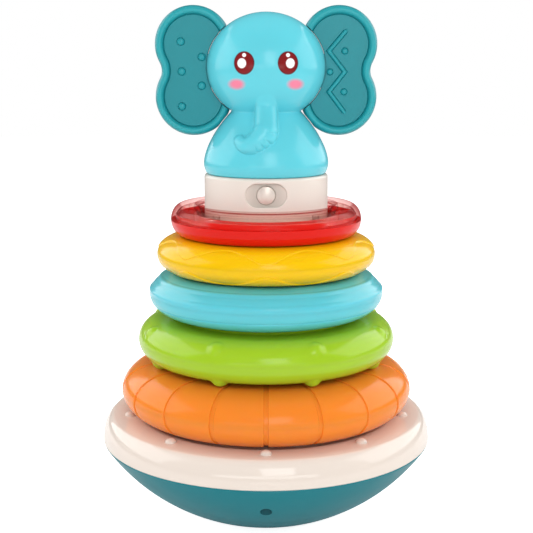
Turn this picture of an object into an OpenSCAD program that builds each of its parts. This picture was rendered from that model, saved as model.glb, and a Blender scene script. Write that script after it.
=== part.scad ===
// Stacking toy: five rings on a post, a weighted rocking base and a lift-off elephant top.
// Millimetres. +Z is up, the face looks along -Y, the origin is the centre of the flat foot.

/* [Base] */
// Radius of the ball that the bowl is cut from
bowl_r = 98.5; // [92:0.5:110]
// How far the base stands out past the lowest ring
base_overhang = 9.7; // [7:0.1:11]
// Radius of the flat foot that the toy stands on
foot_r = 18; // [12:1:24]
// Wall of the bowl
bowl_wall = 2.6; // [2:0.1:3.4]
// Height of the cover's crown above the seam
cover_h = 12.4; // [10:0.2:16]
// Wall of the cover
cover_wall = 2.4; // [1.8:0.1:3]
// Width of the cover's rounded shoulder
shoulder_w = 6; // [4:0.5:8]
// Depth of the seat for the lowest ring below the crown
seat_dip = 0.9; // [0.5:0.1:1.5]
// Depth of the cover's locating lip inside the bowl
cover_lip_h = 3; // [2:0.5:4]
// Number of small nubs on the crown
cover_nubs = 9; // [6:1:12]
// Radius of a crown nub
cover_nub_r = 2.7; // [2:0.1:3]
// Number of screws that hold the cover to the bowl
base_screw_count = 4; // [3:1:6]
// Depth of the screw recess in the bowl
base_screw_depth = 6.5; // [5:0.5:9]

/* [Counterweight] */
// Radius of the iron disc
weight_r = 34; // [26:1:37]
// Thickness of the iron disc
weight_t = 13; // [8:1:16]
// Height of the disc's underside above the table
weight_z = 9; // [8:0.5:12]
// Radius of the circle of screws through the disc
weight_screw_ring_r = 22; // [16:1:24]

/* [Post] */
// Clearance between the post and the rings at the cover
post_gap = 6.5; // [4.5:0.5:8]
// How much slimmer the post is at its top
post_taper = 2.5; // [1:0.5:4]
// Wall of the post
post_wall = 2.4; // [2:0.1:3]
// Clearance between the post's flange and the rings
flange_gap = 2.5; // [1:0.5:3.5]
// Thickness of the post's flange
post_flange_t = 3; // [2:0.5:5]
// Height of the spigot
spigot_h = 8; // [6:0.5:9]

/* [Rings] */
// Radius of the hole in every ring
ring_hole_r = 31.5; // [31:0.1:33]
// Wall of the hollow rings
ring_wall = 2.2; // [1.6:0.1:2.6]
// Width of the round at a ring's hole
ring_inner_round = 4; // [3:0.5:5]
// Height of the lip that joins the halves of a ring
ring_lip_h = 2.6; // [1.5:0.1:3.5]
// Clearance between stacked pieces
stack_gap = 0.3; // [0.2:0.05:0.5]
// Radius of the orange ring
orange_r = 71.9; // [68:0.1:74]
// Height of the orange ring
orange_h = 26.4; // [22:0.2:30]
// Width of the orange ring's outer round
orange_edge = 18.5; // [14:0.5:22]
// Number of grooves across the orange ring
groove_count = 18; // [12:1:24]
// Width of a groove
groove_w = 2; // [1.4:0.1:3]
// Depth of a groove
groove_d = 0.6; // [0.4:0.1:1]
// Radius of the green ring
green_r = 63.2; // [60:0.1:66]
// Height of the green ring's body
green_h = 20.4; // [18:0.2:24]
// Width of the green ring's outer round
green_edge = 11.4; // [9:0.2:14]
// Height of the green ring's nubs and hub land
green_land = 1.6; // [1:0.1:2.4]
// Number of nubs on each face of the green ring
green_nubs = 8; // [6:1:12]
// Radius of a green nub
green_nub_r = 4.2; // [3.5:0.1:5]
// Distance of the lower green nubs from the ring's outside
green_nub_inset = 8.2; // [6:0.2:11]
// Place of the upper green nubs on the ring's outer round, as an angle up from the seam
green_nub_angle = 45; // [35:1:60]
// Radius of the blue ring
blue_r = 57.4; // [55:0.1:60]
// Height of the blue ring
blue_h = 20.8; // [18:0.2:24]
// Width of the blue ring's outer round
blue_edge = 14.9; // [12:0.1:17]
// Radius of the beads round the blue ring
blue_bead_r = 1; // [0.6:0.1:1.4]
// Radius of the yellow ring
yellow_r = 54; // [52:0.1:57]
// Height of the yellow ring
yellow_h = 17.8; // [15:0.2:20]
// Width of the yellow ring's outer round
yellow_edge = 12.4; // [10:0.1:14]
// Number of waves round the yellow ring's raised face
wave_count = 8; // [6:1:12]
// Distance of the waved edge's middle from the ring's outside
wave_inset = 4; // [3.4:0.1:6]
// Amplitude of the waved edge
wave_amp = 3.1; // [1.5:0.1:3.3]
// Height of the waved face
wave_h = 0.5; // [0.3:0.1:0.8]
// Radius of the red ring
red_r = 46.5; // [45:0.1:50]
// Height of the red ring
red_h = 15.2; // [13:0.2:18]
// Width of the red ring's outer round
red_edge = 5.8; // [4.5:0.1:8]
// Number of clear bosses inside the red ring's dome
dome_boss_count = 5; // [3:1:8]

/* [Top unit] */
// Clearance between the collar and the rings
collar_gap = 1.5; // [1:0.1:2]
// Height of the collar
collar_h = 27.5; // [26:0.5:32]
// Depth of the collar's foot above the red ring's underside
collar_drop = 2.2; // [1.5:0.1:4]
// Wall of the collar
collar_wall = 2.2; // [1.8:0.1:2.4]
// Round at the collar's upper edge
collar_round = 1.5; // [0.8:0.1:2]
// Height of the snap lip inside the elephant
snap_lip_h = 3.4; // [3:0.2:5]
// Thickness of the floor plate
floor_t = 4; // [3.8:0.1:4.6]
// Clearance of a piece that drops into another
fit_gap = 0.2; // [0.1:0.05:0.3]
// Width of the oval recess round the button
recess_w = 19; // [16:0.5:21]
// Height of the oval recess
recess_h = 11; // [10:0.5:12]
// Depth of the oval recess
recess_d = 2.4; // [1.6:0.1:3]
// Height of the button's axis below the elephant
button_drop = 7.8; // [7.4:0.1:9]
// Radius of the push button
button_r = 4.3; // [3.8:0.1:4.5]
// Travel of the push button
button_travel = 1.2; // [0.8:0.1:1.5]
// Thickness of the circuit board
board_t = 1.6; // [1:0.1:2]
// Half width of the circuit board
board_half_w = 14; // [12:0.5:15]
// Radius of a button cell
cell_r = 5.8; // [5:0.1:6]
// Thickness of a button cell
cell_t = 5.4; // [4:0.1:5.6]
// Number of button cells
cell_count = 3; // [2:1:3]
// Thickness of the speaker
speaker_t = 4.5; // [3:0.5:6]

/* [Elephant] */
// How far the elephant's lower edge stands in from the collar
body_inset = 1.2; // [0.6:0.1:1.5]
// How far the body swells past the collar
body_swell = 0.2; // [0:0.1:2]
// Height of the widest part of the body
body_bulge_h = 5; // [4:0.5:8]
// How full the body stays below the neck, from a straight slope at 1 upwards
body_fullness = 1.7; // [1.2:0.1:2.2]
// Height of the neck
neck_h = 30; // [28:0.5:33]
// Radius of the head
head_r = 28.4; // [26:0.1:30]
// Half height of the head
head_half_h = 25.8; // [24:0.1:28]
// Angle below the head's middle at which the neck cuts it
neck_cut = 54.1; // [45:0.1:65]
// Wall of the elephant
head_wall = 2.2; // [1.8:0.1:2.4]
// Radius of the trunk where it leaves the face
trunk_r = 4.6; // [3.6:0.1:4.8]
// Radius of the trunk's curl
trunk_curl_r = 6.6; // [5.4:0.1:7]
// Height of the trunk's root above the neck
trunk_rise = 6; // [4:0.5:8]
// How far below the neck the trunk starts to curl
trunk_drop = 8; // [6:0.5:10]
// Angle of the trunk's curl
trunk_curl_angle = 145; // [120:5:180]

/* [Ears] */
// Distance of an ear's centre from the side of the head
ear_out = 6.4; // [4.6:0.1:8]
// Drop of an ear's centre below the head's centre
ear_drop = 1.8; // [0:0.1:4]
// Radius of an ear's two lobes
lobe_r = 18.3; // [17:0.1:20]
// Half distance between the centres of the lobes
lobe_half_gap = 12.4; // [11:0.1:14]
// How far an ear is drawn in at its waist
waist_dent = 3.1; // [2.4:0.1:4]
// Thickness of an ear at its rim
ear_t = 8.4; // [7:0.2:10]
// Thickness of an ear's panel
ear_panel_t = 5.2; // [4.6:0.1:6]
// Width of an ear's rim
rim_w = 4.6; // [3.6:0.1:5.4]
// Thickness of the tab that the head clamps
tab_t = 4; // [3:0.1:4.4]
// Height of the tab
tab_h = 16; // [12:0.5:18]
// Height of the raised marks on an ear
mark_h = 0.9; // [0.5:0.1:1.2]
// Radius of a dot on an ear
dot_r = 1.9; // [1.5:0.1:2.2]
// Half width of the zigzag bar
zigzag_r = 0.9; // [0.7:0.1:1.2]

/* [Screws] */
// Radius of a screw's shank
screw_r = 1.3; // [1:0.1:1.6]
// Radius of a screw's head
screw_head_r = 2.5; // [2.2:0.1:2.7]
// Height of a screw's head
screw_head_h = 1.8; // [1.4:0.1:2.2]
// Length of a screw's shank
screw_len = 10; // [8:0.5:11]
// Clearance round a screw
screw_gap = 0.15; // [0.1:0.05:0.3]
// Wall of a screw boss
boss_wall = 2.2; // [1.6:0.1:2.4]

/* [Hidden] */
$fn = 96;

// Colours as moulded
teal = [0.16, 0.49, 0.51];
ear_teal = [0.17, 0.58, 0.61];
cream = [0.95, 0.91, 0.86];
turquoise = [0.42, 0.84, 0.89];
steel = [0.72, 0.73, 0.75];

// Heights up the base
base_rim_r = orange_r + base_overhang;
ball_z = sqrt(bowl_r * bowl_r - foot_r * foot_r);
seam_z = ball_z - sqrt(bowl_r * bowl_r - base_rim_r * base_rim_r);
crown_z = seam_z + cover_h;
seat_z = crown_z - seat_dip;
plate_z = seat_z - cover_wall;
function bowl_out_z(r) = ball_z - sqrt(bowl_r * bowl_r - r * r);
function bowl_in_r(z) = sqrt((bowl_r - bowl_wall) ^ 2 - (ball_z - z) ^ 2);
lip_gap = 0.3;
cover_lip_r = bowl_in_r(seam_z - cover_lip_h) - lip_gap;
cover_lip_w = 2;
crown_out_r = base_rim_r - shoulder_w;
seat_margin = 4.6;
seat_rise_w = 6;
nub_margin = 1.5;
seat_r = orange_r - orange_edge + seat_margin;
crown_in_r = seat_r + seat_rise_w;
cover_nub_ring_r = crown_in_r + cover_nub_r + nub_margin;
foot_pad_r = foot_r + 4;
foot_pad_t = bowl_wall + 1.4;

// Fasteners
boss_r = screw_r + screw_gap + boss_wall;
pilot_r = screw_r + screw_gap / 3;
clear_r = screw_r + screw_gap;
recess_r = screw_head_r + screw_gap;
seat_t = 2.4;
boss_gap = 0.8;
base_screw_ring_r = cover_lip_r - cover_lip_w - boss_r - boss_gap;
base_seat_z = bowl_out_z(base_screw_ring_r) + base_screw_depth;
base_boss_z = base_seat_z + seat_t;
weight_boss_r = boss_r + 1;
weight_screw_count = 3;
weight_seat_t = 4;
post_screw_count = 3;
head_sink = screw_head_h + fit_gap;

// Radii that follow the rings
post_low_r = ring_hole_r - post_gap;
post_top_r = post_low_r - post_taper;
post_flange_r = ring_hole_r - flange_gap;
collar_r = ring_hole_r - collar_gap;
body_foot_r = collar_r - body_inset;
body_r = collar_r + body_swell;
wave_r = yellow_r - wave_inset;

// Heights up the stack
orange_z = seat_z + stack_gap + orange_h / 2;
green_z = orange_z + orange_h / 2 + stack_gap + green_land + green_h / 2;
blue_z = green_z + green_h / 2 + green_land + stack_gap + blue_h / 2;
yellow_z = blue_z + blue_h / 2 + stack_gap + yellow_h / 2;
red_z = yellow_z + yellow_h / 2 + stack_gap + red_h / 2;
collar_z = red_z - red_h / 2 + collar_drop;
post_top_z = collar_z - stack_gap;
head_z = collar_z + collar_h;
head_mid_h = neck_h + head_half_h * sin(neck_cut);
head_mid_z = head_z + head_mid_h;
ear_z = head_mid_z - ear_drop;
button_z = head_z - button_drop;

// Inside the collar
collar_in_r = collar_r - collar_wall;
floor_top_z = collar_z + floor_t;
snap_r = body_foot_r - head_wall - fit_gap;
bead_r = 0.5;
top_plate_t = 2.4;
pillar_margin = 0.6;
pillar_ring_r = collar_in_r - boss_r - pillar_margin;
cell_tube_r = cell_r + fit_gap;
cell_wall = 1.2;
cell_y = collar_in_r - 2 * fit_gap - cell_wall - cell_tube_r;
core_r = cell_y - cell_tube_r - cell_wall;
socket_wall = 2;
spigot_r = core_r - socket_wall;
socket_r = spigot_r + stack_gap;
speaker_seat_wall = 1.2;
speaker_margin = 1.3;
speaker_r = core_r - speaker_seat_wall - speaker_margin;
post_screw_inset = 10;
post_screw_ring_r = post_low_r - post_screw_inset;
pillar_angles = [25, 155, 205, 335];
socket_roof_z = collar_z + spigot_h + 2 * stack_gap;
speaker_z = socket_roof_z + socket_wall;
contact_t = 0.5;
cell_gap = 0.05;
door_ledge = 1.2;
door_t = floor_t - door_ledge;
door_margin = 1.6;
cell_z = collar_z + door_t + contact_t;
cell_top_z = cell_z + cell_count * (cell_t + cell_gap);
door_screw_x = cell_tube_r + cell_wall + boss_r;
door_screw_in = 3.4;
door_screw_y = cell_y - door_screw_in;
board_seat_t = 1.6;
board_headroom = 0.6;
board_low_z = floor_top_z + board_seat_t;
board_top_z = head_z - top_plate_t - board_headroom;
rail_w = 4;
rail_x = board_half_w - rail_w / 2;
rail_wall = 1.6;
rail_h = 7;

// The button and its switch, as distances forward of the axis
button_bore_r = button_r + fit_gap;
recess_floor_y = collar_r - recess_d;
recess_floor_t = 2;
guide_back_y = recess_floor_y - recess_floor_t;
button_face_y = recess_floor_y + 1.6;
button_flange_r = button_bore_r + 1.2;
button_flange_t = 1.2;
switch_half = 3;
switch_depth = 3.4;
plunger_r = 1.6;
plunger_free = 0.5;
plunger_out = button_travel + plunger_free;
stem_len = 2.1;
switch_front_y = guide_back_y - fit_gap - button_flange_t - stem_len - plunger_out;
board_y = switch_front_y - switch_depth;
plunger_in = 1;

// Section through the upper half of a hollow ring, seam at height 0
function ring_curve(r, hole, b, edge, inner, steps = 14) = concat(
    [for (i = [0:steps]) [r - edge + edge * cos(90 * i / steps), b * sin(90 * i / steps)]],
    [for (i = [0:6]) [hole + inner - inner * sin(15 * i), b * cos(15 * i)]]
);
module ring_section(r, h, edge, grow = 0) {
    least_round = 0.2;
    inner = max(least_round, ring_inner_round + grow);
    polygon(ring_curve(r + grow, ring_hole_r - grow, h / 2 + grow, edge + grow, inner));
}
module ring_half(r, h, edge) {
    rotate_extrude() difference() {
        ring_section(r, h, edge);
        ring_section(r, h, edge, -ring_wall);
    }
}

// The lower half carries a lip on both walls that stands up inside the upper half
module ring_lip(r, h, edge) {
    lip_root = 3.5;
    lip_out = -ring_wall - fit_gap;
    lip_in = lip_out - 1.2;
    rotate_extrude() {
        intersection() {
            difference() {
                ring_section(r, h, edge, lip_out);
                ring_section(r, h, edge, lip_in);
            }
            square([r, ring_lip_h]);
        }
        intersection() {
            mirror([0, 1]) difference() {
                ring_section(r, h, edge, -ring_wall / 2);
                ring_section(r, h, edge, lip_in);
            }
            translate([0, -lip_root]) square([r, lip_root]);
        }
    }
}
module ring_under(r, h, edge) {
    mirror([0, 0, 1]) ring_half(r, h, edge);
    ring_lip(r, h, edge);
}

// A screw along +Z: head below 0, shank above
module screw(shank = screw_len) {
    slot_w = 0.7;
    slot_d = 0.9;
    difference() {
        union() {
            translate([0, 0, -screw_head_h]) cylinder(r = screw_head_r, h = screw_head_h);
            cylinder(r = screw_r, h = shank);
        }
        for (a = [0, 90])
            rotate(a) translate([-screw_head_r * 0.6, -slot_w / 2, -screw_head_h - 1])
                cube([screw_head_r * 1.2, slot_w, slot_d + 1]);
    }
}
module around(count, r, start = 270) {
    for (i = [0:count - 1])
        rotate(start + 360 * i / count) translate([r, 0, 0]) children();
}

// Bowl: a slice of a ball with a flat foot, screw wells and seats for the weight
module base_bowl() {
    color(teal) difference() {
        union() {
            intersection() {
                difference() {
                    translate([0, 0, ball_z]) sphere(r = bowl_r, $fn = 180);
                    translate([0, 0, ball_z]) sphere(r = bowl_r - bowl_wall, $fn = 180);
                }
                cylinder(r = bowl_r, h = seam_z);
            }
            intersection() {
                translate([0, 0, ball_z]) sphere(r = bowl_r - bowl_wall / 2, $fn = 180);
                union() {
                    cylinder(r = foot_pad_r, h = foot_pad_t);
                    around(weight_screw_count, weight_screw_ring_r, 90)
                        cylinder(r = weight_boss_r, h = weight_z);
                    around(base_screw_count, base_screw_ring_r)
                        cylinder(r = recess_r + boss_wall, h = base_boss_z);
                }
            }
        }
        around(weight_screw_count, weight_screw_ring_r, 90)
            translate([0, 0, weight_z + weight_seat_t - screw_len]) cylinder(r = pilot_r, h = screw_len);
        around(base_screw_count, base_screw_ring_r) {
            cylinder(r = recess_r, h = base_seat_z);
            cylinder(r = clear_r, h = base_boss_z + 1);
        }
    }
}

// Cover: rounded shoulder, crown with nubs, seat for the rings, lip and screw bosses below
cover_curve = concat(
    [[base_rim_r, seam_z]],
    [for (i = [0:12]) [crown_out_r + shoulder_w * cos(7.5 * i), seam_z + cover_h * sin(7.5 * i)]],
    [for (i = [0:8])
        [crown_in_r - (crown_in_r - seat_r) * i / 8, crown_z - seat_dip * (1 - cos(22.5 * i)) / 2]]
);
module cover_profile() {
    lip_in_r = cover_lip_r - cover_lip_w;
    difference() {
        polygon(concat(cover_curve, [[0, seat_z], [0, seam_z]]));
        offset(delta = -cover_wall)
            polygon(concat(cover_curve, [[-bowl_r, seat_z], [-bowl_r, -bowl_r], [base_rim_r, -bowl_r]]));
    }
    translate([lip_in_r, seam_z]) square([base_rim_r - cover_wall / 2 - lip_in_r, cover_wall]);
    translate([lip_in_r, seam_z - cover_lip_h]) square([cover_lip_w, cover_lip_h + cover_wall]);
}
module base_cover() {
    color(cream) difference() {
        union() {
            rotate_extrude($fn = 180) cover_profile();
            around(cover_nubs, cover_nub_ring_r)
                intersection() {
                    translate([0, 0, crown_z]) sphere(r = cover_nub_r, $fn = 32);
                    translate([0, 0, crown_z - 1]) cylinder(r = cover_nub_r + 1, h = cover_nub_r + 2);
                }
            around(base_screw_count, base_screw_ring_r)
                translate([0, 0, base_boss_z])
                    cylinder(r = boss_r, h = crown_z - cover_wall / 2 - base_boss_z);
        }
        around(base_screw_count, base_screw_ring_r)
            translate([0, 0, base_boss_z - 1]) cylinder(r = pilot_r, h = screw_len);
        around(post_screw_count, post_screw_ring_r, 90)
            translate([0, 0, plate_z - 1]) cylinder(r = clear_r, h = cover_wall + 2);
    }
}
module base_screws() {
    color(steel) around(base_screw_count, base_screw_ring_r) translate([0, 0, base_seat_z]) screw();
}

// Cast disc that keeps the base upright, held down by three screws
module counterweight() {
    chamfer = 3;
    color([0.3, 0.3, 0.32]) difference() {
        rotate_extrude() polygon([
            [0, weight_z], [weight_r - chamfer, weight_z], [weight_r, weight_z + chamfer],
            [weight_r, weight_z + weight_t - 1], [weight_r - 1, weight_z + weight_t], [0, weight_z + weight_t]
        ]);
        around(weight_screw_count, weight_screw_ring_r, 90) {
            translate([0, 0, weight_z - 1]) cylinder(r = clear_r, h = weight_t + 2);
            translate([0, 0, weight_z + weight_seat_t]) cylinder(r = recess_r, h = weight_t);
        }
    }
}
module weight_screws() {
    color(steel) around(weight_screw_count, weight_screw_ring_r, 90)
        translate([0, 0, weight_z + weight_seat_t]) mirror([0, 0, 1]) screw();
}

// Post: a tapered hollow column on a flange, with a spigot for the top unit
module center_post() {
    rib_h = screw_len + 3;
    color(cream) difference() {
        union() {
            rotate_extrude() difference() {
                polygon([
                    [0, seat_z], [post_flange_r - 1, seat_z], [post_flange_r, seat_z + 1],
                    [post_flange_r, seat_z + post_flange_t], [post_low_r, seat_z + post_flange_t],
                    [post_top_r, post_top_z - 1], [post_top_r - 1, post_top_z], [spigot_r, post_top_z],
                    [spigot_r, post_top_z + spigot_h - 1], [spigot_r - 1, post_top_z + spigot_h],
                    [0, post_top_z + spigot_h]
                ]);
                polygon([
                    [0, seat_z + post_flange_t], [post_low_r - post_wall, seat_z + post_flange_t],
                    [post_top_r - post_wall, post_top_z - post_wall],
                    [spigot_r - post_wall, post_top_z - post_wall],
                    [spigot_r - post_wall, post_top_z + spigot_h - post_wall],
                    [0, post_top_z + spigot_h - post_wall]
                ]);
            }
            around(post_screw_count, post_screw_ring_r, 90)
                translate([0, 0, seat_z]) cylinder(r = boss_r, h = rib_h);
        }
        around(post_screw_count, post_screw_ring_r, 90)
            translate([0, 0, seat_z - 1]) cylinder(r = pilot_r, h = screw_len);
    }
}
module post_screws() {
    color(steel) around(post_screw_count, post_screw_ring_r, 90) translate([0, 0, plate_z]) screw();
}

// Orange ring: grooves run across it from the hole's edge to the seam
module orange_grooves() {
    over = 1;
    around(groove_count, 0) rotate([90, 0, 0]) translate([0, 0, -groove_w / 2]) linear_extrude(groove_w)
        difference() {
            polygon(ring_curve(orange_r + over, ring_hole_r - over, orange_h / 2 + over,
                orange_edge + over, ring_inner_round + over));
            polygon(ring_curve(orange_r - groove_d, ring_hole_r - 2 * over, orange_h / 2 - groove_d,
                orange_edge - groove_d, ring_inner_round));
        }
}
module orange_ring_top() {
    color([0.93, 0.51, 0.16]) translate([0, 0, orange_z]) difference() {
        ring_half(orange_r, orange_h, orange_edge);
        orange_grooves();
    }
}
module orange_ring_bottom() {
    color([0.93, 0.51, 0.16]) translate([0, 0, orange_z]) difference() {
        ring_under(orange_r, orange_h, orange_edge);
        mirror([0, 0, 1]) orange_grooves();
    }
}

// Green ring: nubs on both faces, high on the round above and on the flat below, and a hub land round the hole
module green_marks(ring_r, height) {
    land_r = ring_hole_r + ring_inner_round;
    land_w = 6;
    half_step = 180 / green_nubs;
    difference() {
        union() {
            translate([0, 0, green_h / 2 - 1]) difference() {
                cylinder(r = land_r + land_w, h = green_land + 1);
                translate([0, 0, -1]) cylinder(r = land_r, h = green_land + 3);
            }
            around(green_nubs, ring_r, 270 + half_step)
                translate([0, 0, height]) sphere(r = green_nub_r, $fn = 48);
        }
        rotate_extrude() ring_section(green_r, green_h, green_edge, -ring_wall / 2);
    }
}
module green_ring_top() {
    nub_rise = 1.2;
    sunk = green_nub_r - nub_rise;
    color([0.66, 0.81, 0.2]) translate([0, 0, green_z]) {
        ring_half(green_r, green_h, green_edge);
        green_marks(
            green_r - green_edge + (green_edge - sunk) * cos(green_nub_angle),
            (green_h / 2 - sunk) * sin(green_nub_angle)
        );
    }
}
module green_ring_bottom() {
    color([0.66, 0.81, 0.2]) translate([0, 0, green_z]) {
        ring_under(green_r, green_h, green_edge);
        mirror([0, 0, 1]) green_marks(green_r - green_nub_inset, green_h / 2 + green_land - green_nub_r);
    }
}

// Blue ring: round beads above the seam and a fine groove below it
module blue_bead(angle) {
    sunk = 0.5;
    rotate_extrude() translate([
        blue_r - blue_edge + (blue_edge - sunk) * cos(angle), (blue_h / 2 - sunk) * sin(angle)
    ]) circle(r = blue_bead_r, $fn = 32);
}
module blue_ring_top() {
    color([0.42, 0.83, 0.87]) translate([0, 0, blue_z]) {
        ring_half(blue_r, blue_h, blue_edge);
        for (angle = [15, 52])
            blue_bead(angle);
    }
}
module blue_ring_bottom() {
    groove_angle = 25;
    groove_r = 0.5;
    color([0.42, 0.83, 0.87]) translate([0, 0, blue_z]) difference() {
        ring_under(blue_r, blue_h, blue_edge);
        rotate_extrude() translate([
            blue_r - blue_edge + blue_edge * cos(groove_angle), -blue_h / 2 * sin(groove_angle)
        ]) circle(r = groove_r, $fn = 24);
    }
}

// Yellow ring: both faces carry a raised land with a waved edge
module wave_land() {
    steps = 12 * wave_count;
    body_h = yellow_h - 2 * wave_h;
    body_edge = yellow_edge - wave_h;
    intersection() {
        rotate_extrude() difference() {
            ring_section(yellow_r, body_h, body_edge, wave_h);
            ring_section(yellow_r, body_h, body_edge, -ring_wall / 2);
        }
        linear_extrude(yellow_h) difference() {
            polygon([for (i = [0:steps - 1])
                let (a = 360 * i / steps, r = wave_r + wave_amp * cos(wave_count * (a + 90)))
                [r * cos(a), r * sin(a)]]);
            circle(r = ring_hole_r + ring_inner_round);
        }
    }
}
module yellow_ring_top() {
    color([0.99, 0.81, 0.12]) translate([0, 0, yellow_z]) {
        ring_half(yellow_r, yellow_h - 2 * wave_h, yellow_edge - wave_h);
        wave_land();
    }
}
module yellow_ring_bottom() {
    color([0.99, 0.81, 0.12]) translate([0, 0, yellow_z]) {
        ring_under(yellow_r, yellow_h - 2 * wave_h, yellow_edge - wave_h);
        mirror([0, 0, 1]) wave_land();
    }
}

// Red ring: a clear dome with small weld bosses over an opaque lower half
module red_ring_dome() {
    boss = 1.6;
    mid_r = (ring_hole_r + red_r) / 2;
    color([0.95, 0.3, 0.25, 0.5]) translate([0, 0, red_z]) {
        ring_half(red_r, red_h, red_edge);
        around(dome_boss_count, mid_r, 270 + 180 / dome_boss_count)
            cylinder(r = boss, h = red_h / 2 - ring_wall / 2, $fn = 32);
    }
}
module red_ring_bottom() {
    color([0.9, 0.15, 0.12]) translate([0, 0, red_z]) ring_under(red_r, red_h, red_edge);
}

// Elephant: a bell-shaped body and an egg-shaped head in one turned outline
neck_r = head_r * cos(neck_cut);
trunk_curl_h = neck_h - trunk_drop;
function bell_r(u) = u < body_bulge_h
    ? body_foot_r + (body_r - body_foot_r) * sin(90 * u / body_bulge_h)
    : neck_r + (body_r - neck_r) * (1 - ((u - body_bulge_h) / (neck_h - body_bulge_h)) ^ body_fullness);
function outer_r(u) = u < neck_h
    ? bell_r(u)
    : head_r * sqrt(1 - ((u - head_mid_h) / head_half_h) ^ 2);
bell_steps = 16;
function bell_points(inset) = [for (i = [0:bell_steps])
    let (u = neck_h * i / bell_steps) [bell_r(u) - inset, u]];
module elephant_outline(inset = 0) {
    head_steps = 24;
    polygon(concat([[0, 0]], bell_points(inset), [[0, neck_h]]));
    polygon([for (i = [0:head_steps])
        let (a = -90 + 180 * i / head_steps)
        [(head_r - inset) * cos(a), head_mid_h + (head_half_h - inset) * sin(a)]]);
}
module snap_groove() {
    translate([0, snap_lip_h - 3 * bead_r]) square([snap_r + bead_r + fit_gap, 2 * bead_r + fit_gap]);
}
module elephant_half(start) {
    rotate_extrude(angle = 180, start = start) elephant_outline();
}
module elephant_room(start) {
    rotate_extrude(angle = 180, start = start) {
        elephant_outline(head_wall);
        snap_groove();
    }
}

// The trunk drops from the face, lies on the chest and curls to one side
trunk_rings = 18;
trunk_sides = 16;
trunk_top_h = neck_h + trunk_rise;
trunk_sink = 0.6;
trunk_rest = 1.2;
curl_at = 0.4;
slim_at = 0.5;
trunk_swell = 2.4;
tip_slim = 1.07;
trunk_flat = 0.75;
function trunk_turn(t) = trunk_curl_angle * max(0, (t - curl_at) / (1 - curl_at));
function trunk_x(t) = -trunk_curl_r * (1 - cos(trunk_turn(t)));
function trunk_u(t) = t < curl_at
    ? trunk_top_h + (trunk_curl_h - trunk_top_h) * t / curl_at
    : trunk_curl_h - trunk_curl_r * sin(trunk_turn(t));
trunk_root = outer_r(trunk_top_h) - trunk_flat * trunk_r - trunk_sink;
trunk_chest = outer_r(trunk_curl_h) + trunk_rest;
function trunk_out(t) = t < curl_at
    ? trunk_root + (trunk_chest - trunk_root) * (1 - cos(90 * t / curl_at))
    : sqrt(outer_r(trunk_u(t)) ^ 2 - trunk_x(t) ^ 2) + trunk_rest;
function trunk_point(t) = [trunk_x(t), -trunk_out(t), trunk_u(t)];
function trunk_width(t) = (trunk_r + trunk_swell * min(t, slim_at)) * (1 - tip_slim * max(0, t - slim_at));
function unit(v) = v / norm(v);
function trunk_ring(t) = let (
    step = 0.01,
    along = unit(trunk_point(t + step) - trunk_point(t - step)),
    side = unit(cross(along, [0, -1, 0])),
    out = cross(side, along)
) [for (k = [0:trunk_sides - 1]) let (a = 360 * k / trunk_sides)
    trunk_point(t) + trunk_width(t) * (trunk_flat * cos(a) * out + sin(a) * side)];
function tube_faces(rings, sides) = concat(
    [[for (k = [0:sides - 1]) k]],
    [for (i = [0:rings - 2], k = [0:sides - 1]) let (j = (k + 1) % sides)
        each [
            [i * sides + k, (i + 1) * sides + k, (i + 1) * sides + j],
            [i * sides + k, (i + 1) * sides + j, i * sides + j]
        ]],
    [[for (k = [sides - 1:-1:0]) (rings - 1) * sides + k]]
);
module trunk() {
    points = [for (i = [0:trunk_rings - 1]) each trunk_ring(0.02 + 0.96 * i / (trunk_rings - 1))];
    polyhedron(points, tube_faces(trunk_rings, trunk_sides));
}

// Screws through the head pin the ears, and one holds the body
ear_pin_inset = 8;
ear_pin_x = head_r - ear_pin_inset;
ear_x = head_r + ear_out;
body_screw_u = 14;
head_seat_y = 9;
ear_pin_u = head_mid_h - ear_drop;
module head_screw_places() {
    for (place = [[-ear_pin_x, ear_pin_u], [ear_pin_x, ear_pin_u], [0, body_screw_u]])
        translate([place[0], 0, place[1]]) rotate([90, 0, 0]) children();
}
module tab_slot() {
    slot_h = tab_h + 2 * fit_gap;
    slot_t = tab_t + 2 * fit_gap;
    reach = head_r + 2;
    for (side = [-1, 1])
        translate([side * (ear_pin_x + reach / 2 - boss_r), 0, ear_pin_u])
            cube([reach, slot_t, slot_h], center = true);
}
module head_front() {
    color(turquoise) translate([0, 0, head_z]) difference() {
        union() {
            difference() {
                union() {
                    elephant_half(180);
                    trunk();
                }
                elephant_room(180);
            }
            intersection() {
                elephant_half(180);
                head_screw_places() cylinder(r = boss_r, h = 2 * body_r);
            }
        }
        tab_slot();
        head_screw_places() cylinder(r = pilot_r, h = screw_len + 3);
    }
    color(turquoise) translate([0, 0, head_z]) ear_pins();
}
module ear_pins() {
    pin_len = tab_t + 2 * fit_gap;
    difference() {
        for (side = [-1, 1])
            translate([side * ear_pin_x, -pin_len / 2, ear_pin_u]) rotate([-90, 0, 0])
                cylinder(r = boss_r, h = pin_len);
        head_screw_places() cylinder(r = pilot_r, h = 2 * pin_len, center = true);
    }
}
module head_back() {
    color(turquoise) translate([0, 0, head_z]) difference() {
        union() {
            difference() {
                elephant_half(0);
                elephant_room(0);
            }
            intersection() {
                elephant_half(0);
                head_screw_places() mirror([0, 0, 1]) cylinder(r = recess_r + boss_wall / 2, h = 2 * body_r);
            }
        }
        tab_slot();
        head_screw_places() mirror([0, 0, 1]) {
            translate([0, 0, -1]) cylinder(r = clear_r, h = 2 * body_r);
            translate([0, 0, head_seat_y]) cylinder(r = recess_r, h = 2 * body_r);
        }
    }
}
module head_screws() {
    color(steel) translate([0, 0, head_z])
        head_screw_places() translate([0, 0, -head_seat_y]) screw(head_seat_y + screw_len);
}

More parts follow.
